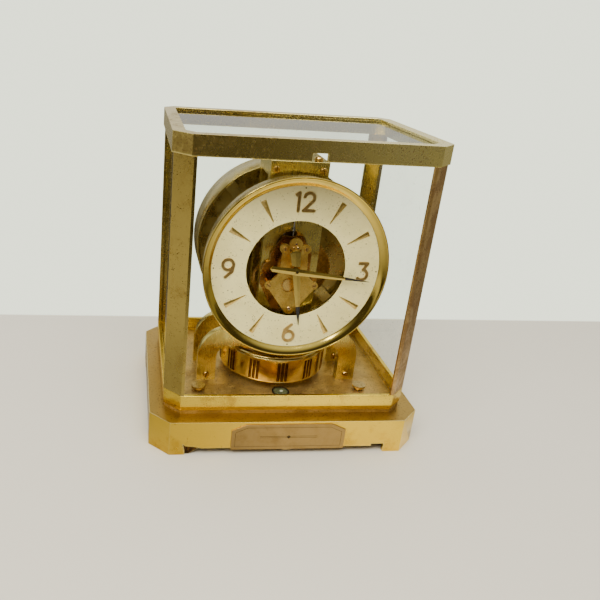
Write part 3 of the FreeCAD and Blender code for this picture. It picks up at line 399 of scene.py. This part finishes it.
def plain_metal(name, light, dark, rough, scale=0.4, grain=0.1):
    """Small turned or cut parts: a slight change of tone and a fine grain."""
    paint = Paint(name)
    tone = paint.ramp(paint.noise(scale, 5, 0.6), 0.35, 0.68)
    fine = paint.noise(4, 3, 0.6)
    gloss = paint.maths("ADD", paint.ramp(fine, 0.3, 0.7, -0.05, 0.08), rough)
    return paint.finish(paint.blend(tone, light, dark), gloss, normal=paint.bump(fine, grain, 0.03))


def lacquer_black():
    paint = Paint("hand_black")
    fine = paint.noise(3, 3, 0.6)
    return paint.finish(paint.blend(paint.ramp(fine, 0.4, 0.7), (0.012, 0.011, 0.01), (0.03, 0.026, 0.02)),
                        paint.ramp(fine, 0.3, 0.7, 0.3, 0.5), 0.0)


def stone(name, colour, deep):
    paint = Paint(name)
    tone = paint.ramp(paint.noise(0.9, 3), 0.35, 0.7)
    return paint.finish(paint.blend(tone, colour, deep), 0.12, 0.0, Coat_Weight=0.5)


def deck_brass():
    """The stained floor of the case."""
    paint = Paint("deck_stained")
    broad = paint.ramp(paint.noise(0.028, 6, 0.65, warp=0.7), 0.38, 0.62)
    colour = paint.blend(broad, (0.58, 0.39, 0.12), (0.38, 0.24, 0.07))
    worn = paint.ramp(paint.noise(0.12, 6, 0.7), 0.55, 0.72)
    colour = paint.blend(worn, colour, (0.72, 0.48, 0.15))
    dots = paint.ramp(paint.noise(0.8, 4, 0.6), 0.58, 0.66)
    colour = paint.blend(dots, colour, (0.09, 0.05, 0.02))
    pale = paint.ramp(paint.noise(1.3, 3, 0.6), 0.68, 0.74)
    colour = paint.blend(pale, colour, (0.72, 0.56, 0.28))
    gloss = paint.ramp(paint.noise(0.1, 5), 0.3, 0.7, 0.3, 0.55)
    return paint.finish(colour, gloss, 0.85, paint.bump(dots, 0.25, 0.06))


SMALL = {
    "steel": plain_metal("polished_steel", (0.42, 0.42, 0.42), (0.26, 0.26, 0.26), 0.2),
    "wheel": plain_metal("wheel_coppery", (0.70, 0.42, 0.13), (0.48, 0.26, 0.07), 0.26),
    "turned": plain_metal("turned_brass", (0.62, 0.45, 0.17), (0.40, 0.27, 0.09), 0.28),
    "screw": plain_metal("screw_gold", (0.80, 0.52, 0.16), (0.52, 0.32, 0.09), 0.25),
    "dark": plain_metal("dark_bronze", (0.11, 0.08, 0.04), (0.05, 0.036, 0.02), 0.4),
    "bellows": plain_metal("bellows_dull", (0.55, 0.42, 0.22), (0.36, 0.26, 0.12), 0.36),
    "gold": plain_metal("applied_gold", (0.95, 0.72, 0.26), (0.75, 0.52, 0.15), 0.3, 0.3, 0.08),
    "edge": plain_metal("knurled_gold", (0.52, 0.38, 0.09), (0.36, 0.25, 0.05), 0.22, 0.3, 0.05),
    "rose": plain_metal("numeral_gold", (0.66, 0.46, 0.18), (0.48, 0.31, 0.11), 0.34, 0.3, 0.12),
    # Dark finish for the balance ring's grooves: painted shade in the flutes.
    "groove": plain_metal("flute_painted_shade", (0.20, 0.10, 0.02), (0.10, 0.045, 0.01), 0.3),
}
BLACK = lacquer_black()
RUBY = stone("ruby", (0.30, 0.02, 0.05), (0.16, 0.01, 0.03))
FLUID = stone("level_fluid", (0.10, 0.11, 0.05), (0.05, 0.055, 0.02))


def paint_nodes():
    """Gives every CAD node its finish."""
    base_front = box_of("plaque")[1].y
    case_brass = brass("case_brass", (0.88, 0.60, 0.06), (0.68, 0.42, 0.035), 0.13, (0.5, 0.72), 0.03,
                       0.66, edge_wear_and_highlight=0.9, top_tone=(0.42, 0.27, 0.06),
                       scar=((-73, base_front + 1.2, 4), (8.5, 0.5, 7)))
    tan = brass("pillar_tan", (0.74, 0.50, 0.22), (0.42, 0.25, 0.10), 0.32, (0.4, 0.6), 0.06, 0.6, edge_wear_and_highlight=0.4)
    pale = brass("pillar_pale", (0.50, 0.38, 0.10), (0.38, 0.26, 0.06), 0.2, (0.5, 0.7), 0.05, 0.6, edge_wear_and_highlight=0.5)
    satin = brass("satin_brass", (0.80, 0.66, 0.20), (0.60, 0.47, 0.12), 0.22, (0.45, 0.7), 0.03, 0.7,
                  brush=(3, 3, 0.08), brush_depth=0.012, edge_wear_and_highlight=0.3)
    drum = brass("drum_brass", (0.48, 0.38, 0.13), (0.41, 0.32, 0.10), 0.26, (0.4, 0.7), 0.02, 0.74,
                 brush=(0.1, 3, 0.1), brush_depth=0.03)
    balance = brass("balance_gold", (0.84, 0.54, 0.12), (0.62, 0.37, 0.07), 0.1, (0.5, 0.75), 0.03, 0.68)
    finishes = {
        case_brass: ("base_plinth",),
        pitted_brass("top_rail_pitted"): ("top_rail",),
        rail_brass("bottom_rail_bands", RAIL_STEP_HEIGHT, (1.0, 0.72, 0.08), (0.80, 0.54, 0.04),
                   (0.68, 0.44, 0.06)): ("bottom_rail",),
        pale: ("pillar_front_left", "pillar_rear_left", "pillar_rear_right"),
        tan: ("pillar_front_right",),
        satin: ("front_bracket", "rear_bracket", "top_block", "winding_lever"),
        drum: ("bellows_drum", "drum_cap", "dial_case"),
        balance: ("balance_spider", "balance_staff"),
        deck_brass(): ("deck_plate",),
        brass("plaque_satin", (0.42, 0.28, 0.10), (0.35, 0.225, 0.075), 0.34, (0.4, 0.7), 0.05, 0.72,
              brush=(0.06, 2, 4), brush_depth=0.02): ("plaque",),
        cream_silver(): ("dial_ring",),
        SMALL["rose"]: ("dial_numerals",),
        frosted_gilt(): ("front_bridge", "train_cock", "pallet_cock"),
        brass("back_plate_coppery", (0.56, 0.28, 0.06), (0.28, 0.12, 0.025), 0.2, (0.4, 0.6), 0.08, 0.62,
              edge_wear_and_highlight=0.4): ("back_plate",),
        SMALL["steel"]: ("return_spring", "mainspring", "barrel_arbor", "second_arbor",
                         "escape_arbor", "pallet_lever", "index_needle", "torsion_wire", "cannon_pinion"),
        SMALL["wheel"]: ("mainspring_barrel", "second_wheel", "centre_wheel", "idler_wheel",
                         "escape_wheel", "hour_wheel"),
        motion_brass(): ("motion_wheel",),
        SMALL["turned"]: ("levelling_screw_left", "levelling_screw_right", "lock_plunger", "lock_lever"),
        SMALL["bellows"]: ("bellows_stack", "pressure_plate"),
        SMALL["dark"]: ("level_cup", "centre_arbor"),
        FLUID: ("level_vial",),
    }
    for number, name in enumerate(("glass_left", "glass_right", "glass_rear", "glass_top")):
        finishes[clear_glass(number + 1, 1.0 if name == "glass_right" else 0.4)] = (name,)
    for material, names in finishes.items():
        for name in names:
            for slot in NODES[name].material_slots:
                slot.material = material


# ---------------------------------------------------------------- mesh helpers

def piece(name, mesh, body, materials, replaces=()):
    """Puts a finished bmesh in the scene as a piece that rides on a body."""
    bmesh.ops.recalc_face_normals(mesh, faces=mesh.faces)
    data = bpy.data.meshes.new(name)
    mesh.to_mesh(data)
    mesh.free()
    for material in materials:
        data.materials.append(material)
    item = bpy.data.objects.new(name, data)
    bpy.context.scene.collection.objects.link(item)
    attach(item, body)
    if replaces:
        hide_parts(*replaces)
    return item


def smooth(item, angle=35):
    """Smooth shading, with edges sharper than the angle kept crisp."""
    item.data.shade_smooth()
    item.data.set_sharp_from_angle(angle=math.radians(angle))
    return item


def soften(item, width):
    """A small rounded edge that catches the light."""
    weld = item.modifiers.new("weld", "WELD")
    weld.merge_threshold = 0.000002
    bevel = item.modifiers.new("bevel", "BEVEL")
    bevel.width = width * MM
    bevel.segments = 4 if width > 1 else 2
    bevel.limit_method = "ANGLE"
    bevel.angle_limit = math.radians(30)
    bevel.harden_normals = True
    bevel.miter_outer = "MITER_ARC"


def lathe(mesh, profile, centre, count=96, material=0, closed=True):
    """Turns (radius, y) corners about an axis that runs front to back through a point (x, z)."""
    rings = []
    for radius, depth in profile:
        ring = []
        for step in range(count):
            turn = 2 * math.pi * step / count
            ring.append(mesh.verts.new(Vector((centre[0] + radius * math.cos(turn), depth,
                                               centre[1] + radius * math.sin(turn))) * MM))
        rings.append(ring)
    pairs = list(zip(rings, rings[1:])) + ([(rings[-1], rings[0])] if closed else [])
    for near, far in pairs:
        for step in range(count):
            after = (step + 1) % count
            face = mesh.faces.new((near[step], near[after], far[after], far[step]))
            face.material_index = material
    return rings


def disc(mesh, radius, back, front, centre, count=32, material=0):
    """A short round plug with flat ends."""
    rings = lathe(mesh, [(radius, back), (radius, front)], centre, count, material, closed=False)
    for ring in rings:
        mesh.faces.new(ring).material_index = material


def box_of(name):
    """A node's corners in millimetres."""
    low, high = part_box(name)
    return Vector(low) / MM, Vector(high) / MM


def middle(name):
    low, high = box_of(name)
    return (low + high) / 2


def turned_point(centre, radius, angle):
    return centre[0] + radius * math.cos(angle), centre[1] + radius * math.sin(angle)


# ---------------------------------------------------------------- dial

def make_bezel():
    """Polished dish round the dial with a knurled side, and the knurled ring behind it."""
    low, high = box_of("bezel")
    centre = ((low.x + high.x) / 2, (low.z + high.z) / 2)
    outer, back, front = (high.x - low.x) / 2, high.y, low.y
    inner = box_of("dial_ring")[1].x - (low.x + high.x) / 2 + 0.2
    foot, rim = inner + 0.6, outer - 1.1
    face = [(foot + (rim - foot) * step / 8,
             back - 1.3 - (back - 1.3 - front - 0.2) * step / 8 - 0.35 * math.sin(math.pi * step / 8))
            for step in range(9)]
    profile = [(inner, back), (inner, back - 0.9), *face, (outer - 0.85, front),
               (outer - 0.5, front + 0.02), (outer - 0.12, front + 0.25), (outer, front + 0.7),
               (outer, front + 1), (outer - 1, front + 1.1), (outer - 1, back)]
    mesh = bmesh.new()
    lathe(mesh, profile, centre, 192)
    knurl(mesh, centre, outer - 0.1, back, front + 1.1, 1)
    polished = brass("bezel_polished", (0.74, 0.56, 0.12), (0.52, 0.38, 0.07), 0.09, (0.5, 0.75), 0.04, 0.68)
    smooth(piece("bezel_ring", mesh, "case", [polished, SMALL["edge"]], ["bezel"]), 40)

    low, high = box_of("coin_edge")
    mesh = bmesh.new()
    knurl(mesh, centre, (high.x - low.x) / 2, high.y, low.y)
    piece("knurled_ring", mesh, "case", [SMALL["edge"]], ["coin_edge"])


def knurl(mesh, centre, radius, back, front, material=0, teeth=220):
    """A ring of fine teeth between two depths."""
    outline = [turned_point(centre, radius - (0.5 if step % 2 else 0), math.pi * step / teeth)
               for step in range(2 * teeth)]
    rings = []
    for depth, shrink in ((back, 0.3), (back - 0.3, 0), (front + 0.3, 0), (front, 0.3)):
        scale = 1 - shrink / radius
        rings.append([mesh.verts.new(Vector((centre[0] + (x - centre[0]) * scale, depth,
                                             centre[1] + (z - centre[1]) * scale)) * MM) for x, z in outline])
    for depth in (front, back):
        rings.append([mesh.verts.new(Vector((*turned_point(centre, radius - 1.7, math.pi * step / teeth),
                                             depth)).xzy * MM) for step in range(2 * teeth)])
    for near, far in zip(rings, rings[1:] + rings[:1]):
        for step in range(2 * teeth):
            after = (step + 1) % (2 * teeth)
            mesh.faces.new((near[step], near[after], far[after], far[step])).material_index = material


def make_batons():
    """Eight faceted wedges, narrow towards the centre, and a dot outside each numeral."""
    ring_low, ring_high = box_of("dial_ring")
    centre = ((ring_low.x + ring_high.x) / 2, (ring_low.z + ring_high.z) / 2)
    face, outer = ring_low.y, (ring_high.x - ring_low.x) / 2
    low, _ = box_of("dial_batons")
    mesh = bmesh.new()
    for hour in HOURS_WITH_BATONS:
        angle = math.pi / 2 - math.radians(30 * hour)
        along = Vector((math.cos(angle), 0, math.sin(angle)))
        across = Vector((-math.sin(angle), 0, math.cos(angle)))
        origin = Vector((centre[0], 0, centre[1]))
        stations = []
        for distance, half, rise in ((outer - 21.5, 0.3, 0.3), (outer - 5.1, 2.0, 0.75),
                                     (outer - 4, 2.1, 0.35)):
            point = origin + along * distance
            crest = face + (low.y - face) * rise
            stations.append([mesh.verts.new((point + across * side + Vector((0, depth, 0))) * MM)
                             for side, depth in ((-half, face), (-half, face - 0.15), (0, crest),
                                                 (half, face - 0.15), (half, face))])
        for near, far in zip(stations, stations[1:]):
            for step in range(5):
                after = (step + 1) % 5
                mesh.faces.new((near[step], near[after], far[after], far[step]))
        mesh.faces.new(stations[0])
        mesh.faces.new(stations[-1])
    piece("hour_batons", mesh, "case", [SMALL["gold"]], ["dial_batons"])

    mesh = bmesh.new()
    for hour in HOURS_WITH_DOTS:
        at = turned_point(centre, outer - 1.6, math.radians(90 - 30 * hour))
        lathe(mesh, [(0.55, face), (0.5, face - 0.2), (0.25, face - 0.3), (0.02, face - 0.32)], at, 16,
              closed=False)
    smooth(piece("minute_dots", mesh, "case", [SMALL["dark"]]))


def hand(name, node, body, axis, stations, tip_share, hub):
    """A faceted hand with a ridge along it and a blackened tip."""
    low, high = box_of(node)
    corners = [vertex.co / MM for vertex in NODES[node].data.vertices]
    tip = max(corners, key=lambda at: math.hypot(at.x - axis[0], at.z - axis[1]))
    angle = math.atan2(tip.z - axis[1], tip.x - axis[0])
    length = math.hypot(tip.x - axis[0], tip.z - axis[1])
    along = Vector((math.cos(angle), 0, math.sin(angle)))
    across = Vector((-math.sin(angle), 0, math.cos(angle)))
    origin = Vector((axis[0], 0, axis[1]))
    mesh = bmesh.new()
    rows = []
    for distance, half in stations:
        point = origin + along * min(distance, length)
        edge = high.y - 0.6 * (high.y - low.y)
        crest = low.y if half > 0.6 else low.y + (edge - low.y) * (1 - half / 0.6) * 0.7
        rows.append([mesh.verts.new((point + across * side + Vector((0, depth, 0))) * MM)
                     for side, depth in ((-half, high.y), (-half, edge), (0, crest), (half, edge),
                                         (half, high.y))])
    for row, (near, far) in enumerate(zip(rows, rows[1:])):
        for step in range(5):
            after = (step + 1) % 5
            face = mesh.faces.new((near[step], near[after], far[after], far[step]))
            face.material_index = 1 if stations[row][0] >= length * tip_share else 0
    mesh.faces.new(rows[0])
    mesh.faces.new(rows[-1]).material_index = 1
    lathe(mesh, [(hub * 0.4, low.y + 0.05), (hub * 0.8, low.y + 0.1), (hub, low.y + 0.3), (hub, high.y),
                 (hub * 0.4, high.y)], axis, 40)
    return piece(name, mesh, body, [HAND_GOLD, BLACK], [node])


def make_hands():
    arbor = middle("centre_arbor")
    axis = (arbor.x, arbor.z)
    hand("minute_hand_faceted", "minute_hand", "centre", axis,
         [(-20.6, 0.1), (-18.6, 2.1), (-8, 2.35), (0, 2.6), (20, 2.0), (37.2, 1.2), (37.3, 1.2), (50, 0.5),
          (56.4, 0.12)], 0.66, 2.4)
    hand("hour_hand_faceted", "hour_hand", "hour", axis,
         [(-16, 0.3), (-14.6, 4.0), (-8, 3.4), (0, 2.9), (16, 2.3), (28.9, 1.6), (29, 1.6), (38, 0.8),
          (44.4, 0.12)], 0.65, 3.2)


# ---------------------------------------------------------------- movement

def make_screws():
    """Slotted heads in place of the plain ones: feet, block, bridge and the standing screw on top."""
    corners = [vertex.co / MM for vertex in NODES["machine_screws"].data.vertices]
    heads = []
    for corner in corners:
        for group in heads:
            if (corner - group[0]).length < 7:
                group.append(corner)
                break
        else:
            heads.append([corner])
    rng = random.Random(11)
    mesh = bmesh.new()
    for group in heads:
        low = Vector(min(at[axis] for at in group) for axis in range(3))
        high = Vector(max(at[axis] for at in group) for axis in range(3))
        size = high - low
        upright = abs(size.x - size.y) < abs(size.x - size.z)
        radius = size.x / 2
        depth = size.z if upright else size.y
        start = len(mesh.verts)
        slotted_head(mesh, radius, depth, rng.uniform(0, math.pi))
        mesh.verts.ensure_lookup_table()
        if upright:
            turn = Matrix.Rotation(math.radians(-90), 4, "X")
            base = Vector(((low.x + high.x) / 2, (low.y + high.y) / 2, low.z))
        else:
            turn = Matrix.Identity(4)
            base = Vector(((low.x + high.x) / 2, high.y, (low.z + high.z) / 2))
        for vertex in mesh.verts[start:]:
            vertex.co = (turn @ vertex.co) + base * MM
    piece("slotted_screws", mesh, "case", [SMALL["screw"], SMALL["dark"]], ["machine_screws"])


def slotted_head(mesh, radius, depth, slot_turn):
    """A domed head that faces the front, its back at the origin, cut by one slot."""
    half, rim = radius * 0.14, radius * 0.86
    # The core under the slot is dark bronze: painted shade in the slot.
    disc(mesh, radius * 0.97, 0, -depth * 0.55, (0, 0), 28, 1)
    for side in (0, math.pi):
        layers = []
        for reach, height in ((radius, 0), (radius, -depth * 0.75), (rim, -depth)):
            limit = math.asin(half / reach)
            layer = []
            for step in range(13):
                angle = limit + (math.pi - 2 * limit) * step / 12
                x, z = reach * math.cos(angle), max(half, reach * math.sin(angle))
                turn = slot_turn + side
                layer.append(mesh.verts.new(Vector((x * math.cos(turn) - z * math.sin(turn), height,
                                                    x * math.sin(turn) + z * math.cos(turn))) * MM))
            layers.append(layer)
        for near, far in zip(layers, layers[1:]):
            for step in range(13):
                after = (step + 1) % 13
                mesh.faces.new((near[step], near[after], far[after], far[step]))
        mesh.faces.new(layers[0])
        mesh.faces.new(layers[-1])


def make_jewels():
    """Pivot holes, jewels and small details on the front bridge."""
    low, high = box_of("front_bridge")
    face, top = low.y, high.z
    escape = middle("escape_arbor").z
    mesh = bmesh.new()
    for at, radius in (((0, top - 4.6), 1.05), ((-1.6, top - 7.4), 0.8), ((1.6, top - 7.4), 0.8)):
        lathe(mesh, [(radius * 0.55, face), (radius * 0.55, face - 0.1), (radius, face - 0.14),
                     (radius * 1.2, face)], at, 24)
        # Each pivot hole is filled with a black disc: painted shade in the hole.
        disc(mesh, radius * 0.56, face, face - 0.06, at, 24, 1)
    at = (0, escape)
    lathe(mesh, [(1.1, face), (1.1, face - 0.2), (1.8, face - 0.25), (2.1, face)], at, 32)
    disc(mesh, 1.12, face, face - 0.12, at, 24, 2)
    # A black disc for the hole in the escape jewel: painted shade.
    disc(mesh, 0.35, face, face - 0.16, at, 16, 1)
    smooth(piece("bridge_jewels", mesh, "case", [SMALL["screw"], BLACK, RUBY]), 40)


def make_balance():
    """The heavy ring: turned lips and three upright grooves in each of twelve places."""
    low, high = box_of("balance_ring")
    centre = (low + high) / 2
    outer = (high.x - low.x) / 2
    inner = outer - RING_WALL
    profile = [(inner + 0.3, low.z, 0), (outer - 0.9, low.z, 0), (outer - 0.25, low.z + 0.2, 0),
               (outer, low.z + 0.8, 0), (outer, low.z + 1.2, 0), (outer, low.z + 1.3, 1),
               (outer, high.z - 3.4, 1), (outer, high.z - 3.3, 0), (outer, high.z - 1.5, 0),
               (outer - 0.3, high.z - 1.0, 0), (outer - 2.2, high.z - 0.9, 0), (outer - 2.5, high.z - 0.3, 0),
               (outer - 2.9, high.z, 0), (inner + 0.7, high.z, 0), (inner, high.z - 0.5, 0),
               (inner, low.z + 0.4, 0)]
    steps = 1440
    depths = []
    for step in range(steps):
        turn = (step * 360 / steps) % DEGREES_BETWEEN_FLUTES
        away = min(abs(turn - flute) for flute in FLUTE_PLACES)
        depths.append(FLUTE_DEPTH * max(0.0, min(1.0, (1.45 - away) / 0.35)))
    mesh = bmesh.new()
    rings = []
    for radius, height, cut in profile:
        ring = []
        for step in range(steps):
            turn = 2 * math.pi * step / steps
            reach = radius - depths[step] * cut
            ring.append(mesh.verts.new(Vector((centre.x + reach * math.cos(turn),
                                               centre.y + reach * math.sin(turn), height)) * MM))
        rings.append(ring)
    for row, (near, far) in enumerate(zip(rings, rings[1:] + rings[:1])):
        grooved = profile[row][2] and profile[(row + 1) % len(profile)][2]
        for step in range(steps):
            after = (step + 1) % steps
            face = mesh.faces.new((near[step], near[after], far[after], far[step]))
            # Groove faces get the dark finish, which paints the shade in the flutes.
            face.material_index = 1 if grooved and depths[step] + depths[after] > 0.1 else 0
    ring_gold = brass("balance_ring_gold", (0.78, 0.60, 0.20), (0.58, 0.43, 0.13), 0.13, (0.5, 0.75), 0.03,
                      0.68)
    smooth(piece("balance_ring_fluted", mesh, "balance", [ring_gold, SMALL["groove"]],
                 ["balance_ring"]), 30)


def make_drum_back():
    """Turned rings and four spanner holes on the drum's rear cap."""
    low, high = box_of("drum_cap")
    centre = ((low.x + high.x) / 2, (low.z + high.z) / 2)
    corners = [vertex.co / MM for vertex in NODES["drum_cap"].data.vertices]
    rim = [at for at in corners if 30 < math.hypot(at.x - centre[0], at.z - centre[1])]
    face = max(at.y for at in rim)
    reach = max(math.hypot(at.x - centre[0], at.z - centre[1]) for at in rim)
    mesh = bmesh.new()
    for radius in (reach - 9, reach - 12, reach - 24, 25.5):
        lathe(mesh, [(radius - 0.9, face - 0.2), (radius - 0.5, face + 0.3), (radius + 0.5, face + 0.3),
                     (radius + 0.9, face - 0.2)], centre, 144)
    lathe(mesh, [(15.5, high.y - 0.2), (15.8, high.y - 0.02), (17.2, high.y - 0.02), (17.5, high.y - 0.2)],
          centre, 96)
    for quarter in range(4):
        at = turned_point(centre, reach - 18, math.radians(45 + 90 * quarter))
        lathe(mesh, [(2.5, face - 0.2), (2.5, face + 0.25), (3.2, face + 0.25), (3.6, face - 0.2)], at, 32)
        # A dark plug in each spanner hole: painted shade in the hole.
        disc(mesh, 2.5, face - 0.2, face + 0.05, at, 32, 1)
    smooth(piece("drum_cap_rings", mesh, "case", [SMALL["turned"], SMALL["dark"]]), 40)


def make_level():
    """The bubble and the centring circle of the spirit level."""
    low, high = box_of("level_vial")
    centre = (low + high) / 2
    top = box_of("level_cup")[1].z
    mesh = bmesh.new()
    rings = []
    for reach in (2.1, 2.32):
        rings.append([mesh.verts.new(Vector((centre.x + reach * math.cos(2 * math.pi * step / 40),
                                             centre.y + reach * math.sin(2 * math.pi * step / 40),
                                             high.z + 0.06)) * MM) for step in range(40)])
    for step in range(40):
        after = (step + 1) % 40
        mesh.faces.new((rings[0][step], rings[0][after], rings[1][after], rings[1][step]))
    ring = piece("level_circle", mesh, "case", [BLACK])
    thicken = ring.modifiers.new("thickness", "SOLIDIFY")
    thicken.thickness = 0.05 * MM
    mesh = bmesh.new()
    bmesh.ops.create_uvsphere(mesh, u_segments=24, v_segments=12, radius=1.3 * MM)
    for vertex in mesh.verts:
        vertex.co = Vector((vertex.co.x, vertex.co.y, vertex.co.z * 0.28)) + Vector(
            (centre.x + 0.8, centre.y + 0.5, min(high.z + 0.3, top - 0.1))) * MM
    pale = stone("bubble", (0.55, 0.58, 0.36), (0.4, 0.42, 0.25))
    smooth(piece("level_bubble", mesh, "case", [pale]))


def make_plaque_border():
    """A fine engraved frame and rules on the blank plaque."""
    low, high = box_of("plaque")
    face = low.y - 0.02
    mesh = bmesh.new()
    left, right, bottom, top = low.x + 3, high.x - 3, low.z + 2.6, high.z - 2.6
    cut = 9
    frame_line = [(left, bottom), (right, bottom), (right, top - cut * 0.46), (right - cut, top),
                  (left + cut, top), (left, top - cut * 0.46)]
    middle_z = (bottom + top) / 2
    lines = list(zip(frame_line, frame_line[1:] + frame_line[:1]))
    lines += [((-22, middle_z + offset), (22, middle_z + offset)) for offset in (-0.6, 0.6)]
    for (x0, z0), (x1, z1) in lines:
        run = Vector((x1 - x0, 0, z1 - z0))
        side = Vector((-run.z, 0, run.x)).normalized() * 0.14
        reach = run.normalized() * 0.14
        ends = [Vector((x0, face, z0)) - reach, Vector((x1, face, z1)) + reach]
        mesh.faces.new([mesh.verts.new(at * MM) for at in (ends[0] - side, ends[1] - side, ends[1] + side,
                                                            ends[0] + side)])
    bmesh.ops.create_circle(mesh, cap_ends=True, segments=4, radius=1.6 * MM,
                            matrix=Matrix.Translation(Vector((0, face, middle_z)) * MM)
                            @ Matrix.Rotation(math.radians(90), 4, "X"))
    lines_piece = piece("plaque_engraving", mesh, "case", [SMALL["dark"]])
    thicken = lines_piece.modifiers.new("thickness", "SOLIDIFY")
    thicken.thickness = 0.02 * MM


# ---------------------------------------------------------------- stage

def pale_floor():
    """A pale table, and beyond its rear edge the paler tone of a wall. Polished metal sees the table
    fade into a dim room away from the clock, less so to the left."""
    paint = Paint("floor_pale")
    faint = paint.ramp(paint.noise(0.01, 4), 0.3, 0.7)
    colour = paint.blend(paint.maths("MULTIPLY", faint, 0.08), (0.66, 0.62, 0.53), (0.58, 0.54, 0.46))
    paint.finish(colour, 0.6, 0.0, Specular_IOR_Level=0.2)
    table = paint.output.inputs["Surface"].links[0].from_socket
    rays = paint.add("ShaderNodeLightPath")
    wall = paint.add("ShaderNodeEmission")
    paint.link(paint.blend(rays.outputs["Is Camera Ray"], WALL_SEEN, WALL_TONE), wall.inputs[0])
    dim = paint.add("ShaderNodeEmission")
    paint.link(paint.blend(paint.ramp(paint.axis("x"), 150, 700), DIM_ROOM, DIM_ROOM_RIGHT), dim.inputs[0])
    wide = paint.maths("POWER", paint.maths("SUBTRACT", paint.axis("x"), FADE_CENTRE[0]), 2)
    deep = paint.maths("POWER", paint.maths("SUBTRACT", paint.axis("y"), FADE_CENTRE[1]), 2)
    away = paint.maths("POWER", paint.maths("ADD", wide, deep), 0.5)
    far = paint.maths("DIVIDE", paint.maths("SUBTRACT", away, FADE_START), FADE_LENGTH, clamp=True)
    far = paint.maths("MULTIPLY", paint.maths("POWER", far, 0.5), rays.outputs["Is Glossy Ray"])
    far = paint.maths("MULTIPLY", far, paint.ramp(paint.axis("x"), -350, -150, 0.5, 1.0))
    for share, other in ((paint.ramp(paint.axis("y"), *TABLE_END), wall), (far, dim)):
        mixed = paint.add("ShaderNodeMixShader")
        paint.link(share, mixed.inputs[0])
        paint.link(table, mixed.inputs[1])
        paint.link(other.outputs[0], mixed.inputs[2])
        table = mixed.outputs[0]
    paint.link(table, paint.output.inputs["Surface"])
    return paint.material


def make_floor():
    floor_material = pale_floor()
    mesh = bmesh.new()
    bmesh.ops.create_grid(mesh, x_segments=1, y_segments=1, size=6)
    data = bpy.data.meshes.new("floor")
    mesh.to_mesh(data)
    mesh.free()
    data.materials.append(floor_material)
    floor = bpy.data.objects.new("floor", data)
    floor.location.z = cad_low.z
    bpy.context.scene.collection.objects.link(floor)


def make_lamps():
    """Soft square lamps, all turned to the clock."""
    for name, where, size, power, colour in LAMPS:
        lamp = bpy.data.lights.new(name, "AREA")
        lamp.energy, lamp.size, lamp.color = power, size, colour
        item = bpy.data.objects.new(name, lamp)
        item.location = where
        item.rotation_euler = (Vector(LAMP_TARGET) - Vector(where)).to_track_quat("-Z", "Y").to_euler()
        bpy.context.scene.collection.objects.link(item)


def make_room():
    """The surroundings: the wall's tone on camera, and for other rays a dim room in front that is
    pale behind and above."""
    world = bpy.data.worlds.new("studio")
    bpy.context.scene.world = world
    world.use_nodes = True
    tree = world.node_tree
    tree.nodes.clear()
    place = tree.nodes.new("ShaderNodeTexCoord")
    parts = tree.nodes.new("ShaderNodeSeparateXYZ")
    tree.links.new(place.outputs["Generated"], parts.inputs[0])
    most = tree.nodes.new("ShaderNodeMath")
    most.operation = "MAXIMUM"
    for number, (letter, low_end, high_end) in enumerate((("Y", -0.5, 0.9), ("Z", 0.25, 0.85))):
        rise = tree.nodes.new("ShaderNodeMapRange")
        rise.interpolation_type = "SMOOTHSTEP"
        rise.inputs["From Min"].default_value = low_end
        rise.inputs["From Max"].default_value = high_end
        tree.links.new(parts.outputs[letter], rise.inputs["Value"])
        tree.links.new(rise.outputs[0], most.inputs[number])
    room = tree.nodes.new("ShaderNodeMix")
    room.data_type = "RGBA"
    tree.links.new(most.outputs[0], room.inputs[0])
    room.inputs[6].default_value = (0.06, 0.05, 0.035, 1)
    room.inputs[7].default_value = (1.0, 0.98, 0.88, 1)
    rays = tree.nodes.new("ShaderNodeLightPath")
    seen = tree.nodes.new("ShaderNodeMix")
    seen.data_type = "RGBA"
    tree.links.new(rays.outputs["Is Camera Ray"], seen.inputs[0])
    tree.links.new(room.outputs[2], seen.inputs[6])
    seen.inputs[7].default_value = (*WALL_TONE, 1)
    glow = tree.nodes.new("ShaderNodeBackground")
    tree.links.new(seen.outputs[2], glow.inputs[0])
    out = tree.nodes.new("ShaderNodeOutputWorld")
    tree.links.new(glow.outputs[0], out.inputs[0])


def make_camera():
    lens = bpy.data.cameras.new("camera")
    lens.sensor_width = 36
    lens.lens = LENS_LENGTH
    lens.shift_x, lens.shift_y = LENS_SHIFT
    lens.clip_start, lens.clip_end = 0.01, 50
    camera = bpy.data.objects.new("camera", lens)
    camera.location = CAMERA_PLACE
    camera.rotation_euler = CAMERA_TURN
    bpy.context.scene.collection.objects.link(camera)
    bpy.context.scene.camera = camera


HAND_GOLD = brass("hand_gold", (0.90, 0.68, 0.18), (0.72, 0.50, 0.12), 0.14, (0.5, 0.75), 0.1, 0.7)

make_floor()
make_lamps()
make_room()
make_camera()
paint_nodes()
for edge_width, node_names in EDGE_WIDTHS.items():
    for node_name in node_names:
        soften(NODES[node_name], edge_width)
make_bezel()
make_batons()
make_hands()
make_screws()
make_jewels()
make_balance()
make_drum_back()
make_level()
make_plaque_border()

bpy.context.view_layer.update()
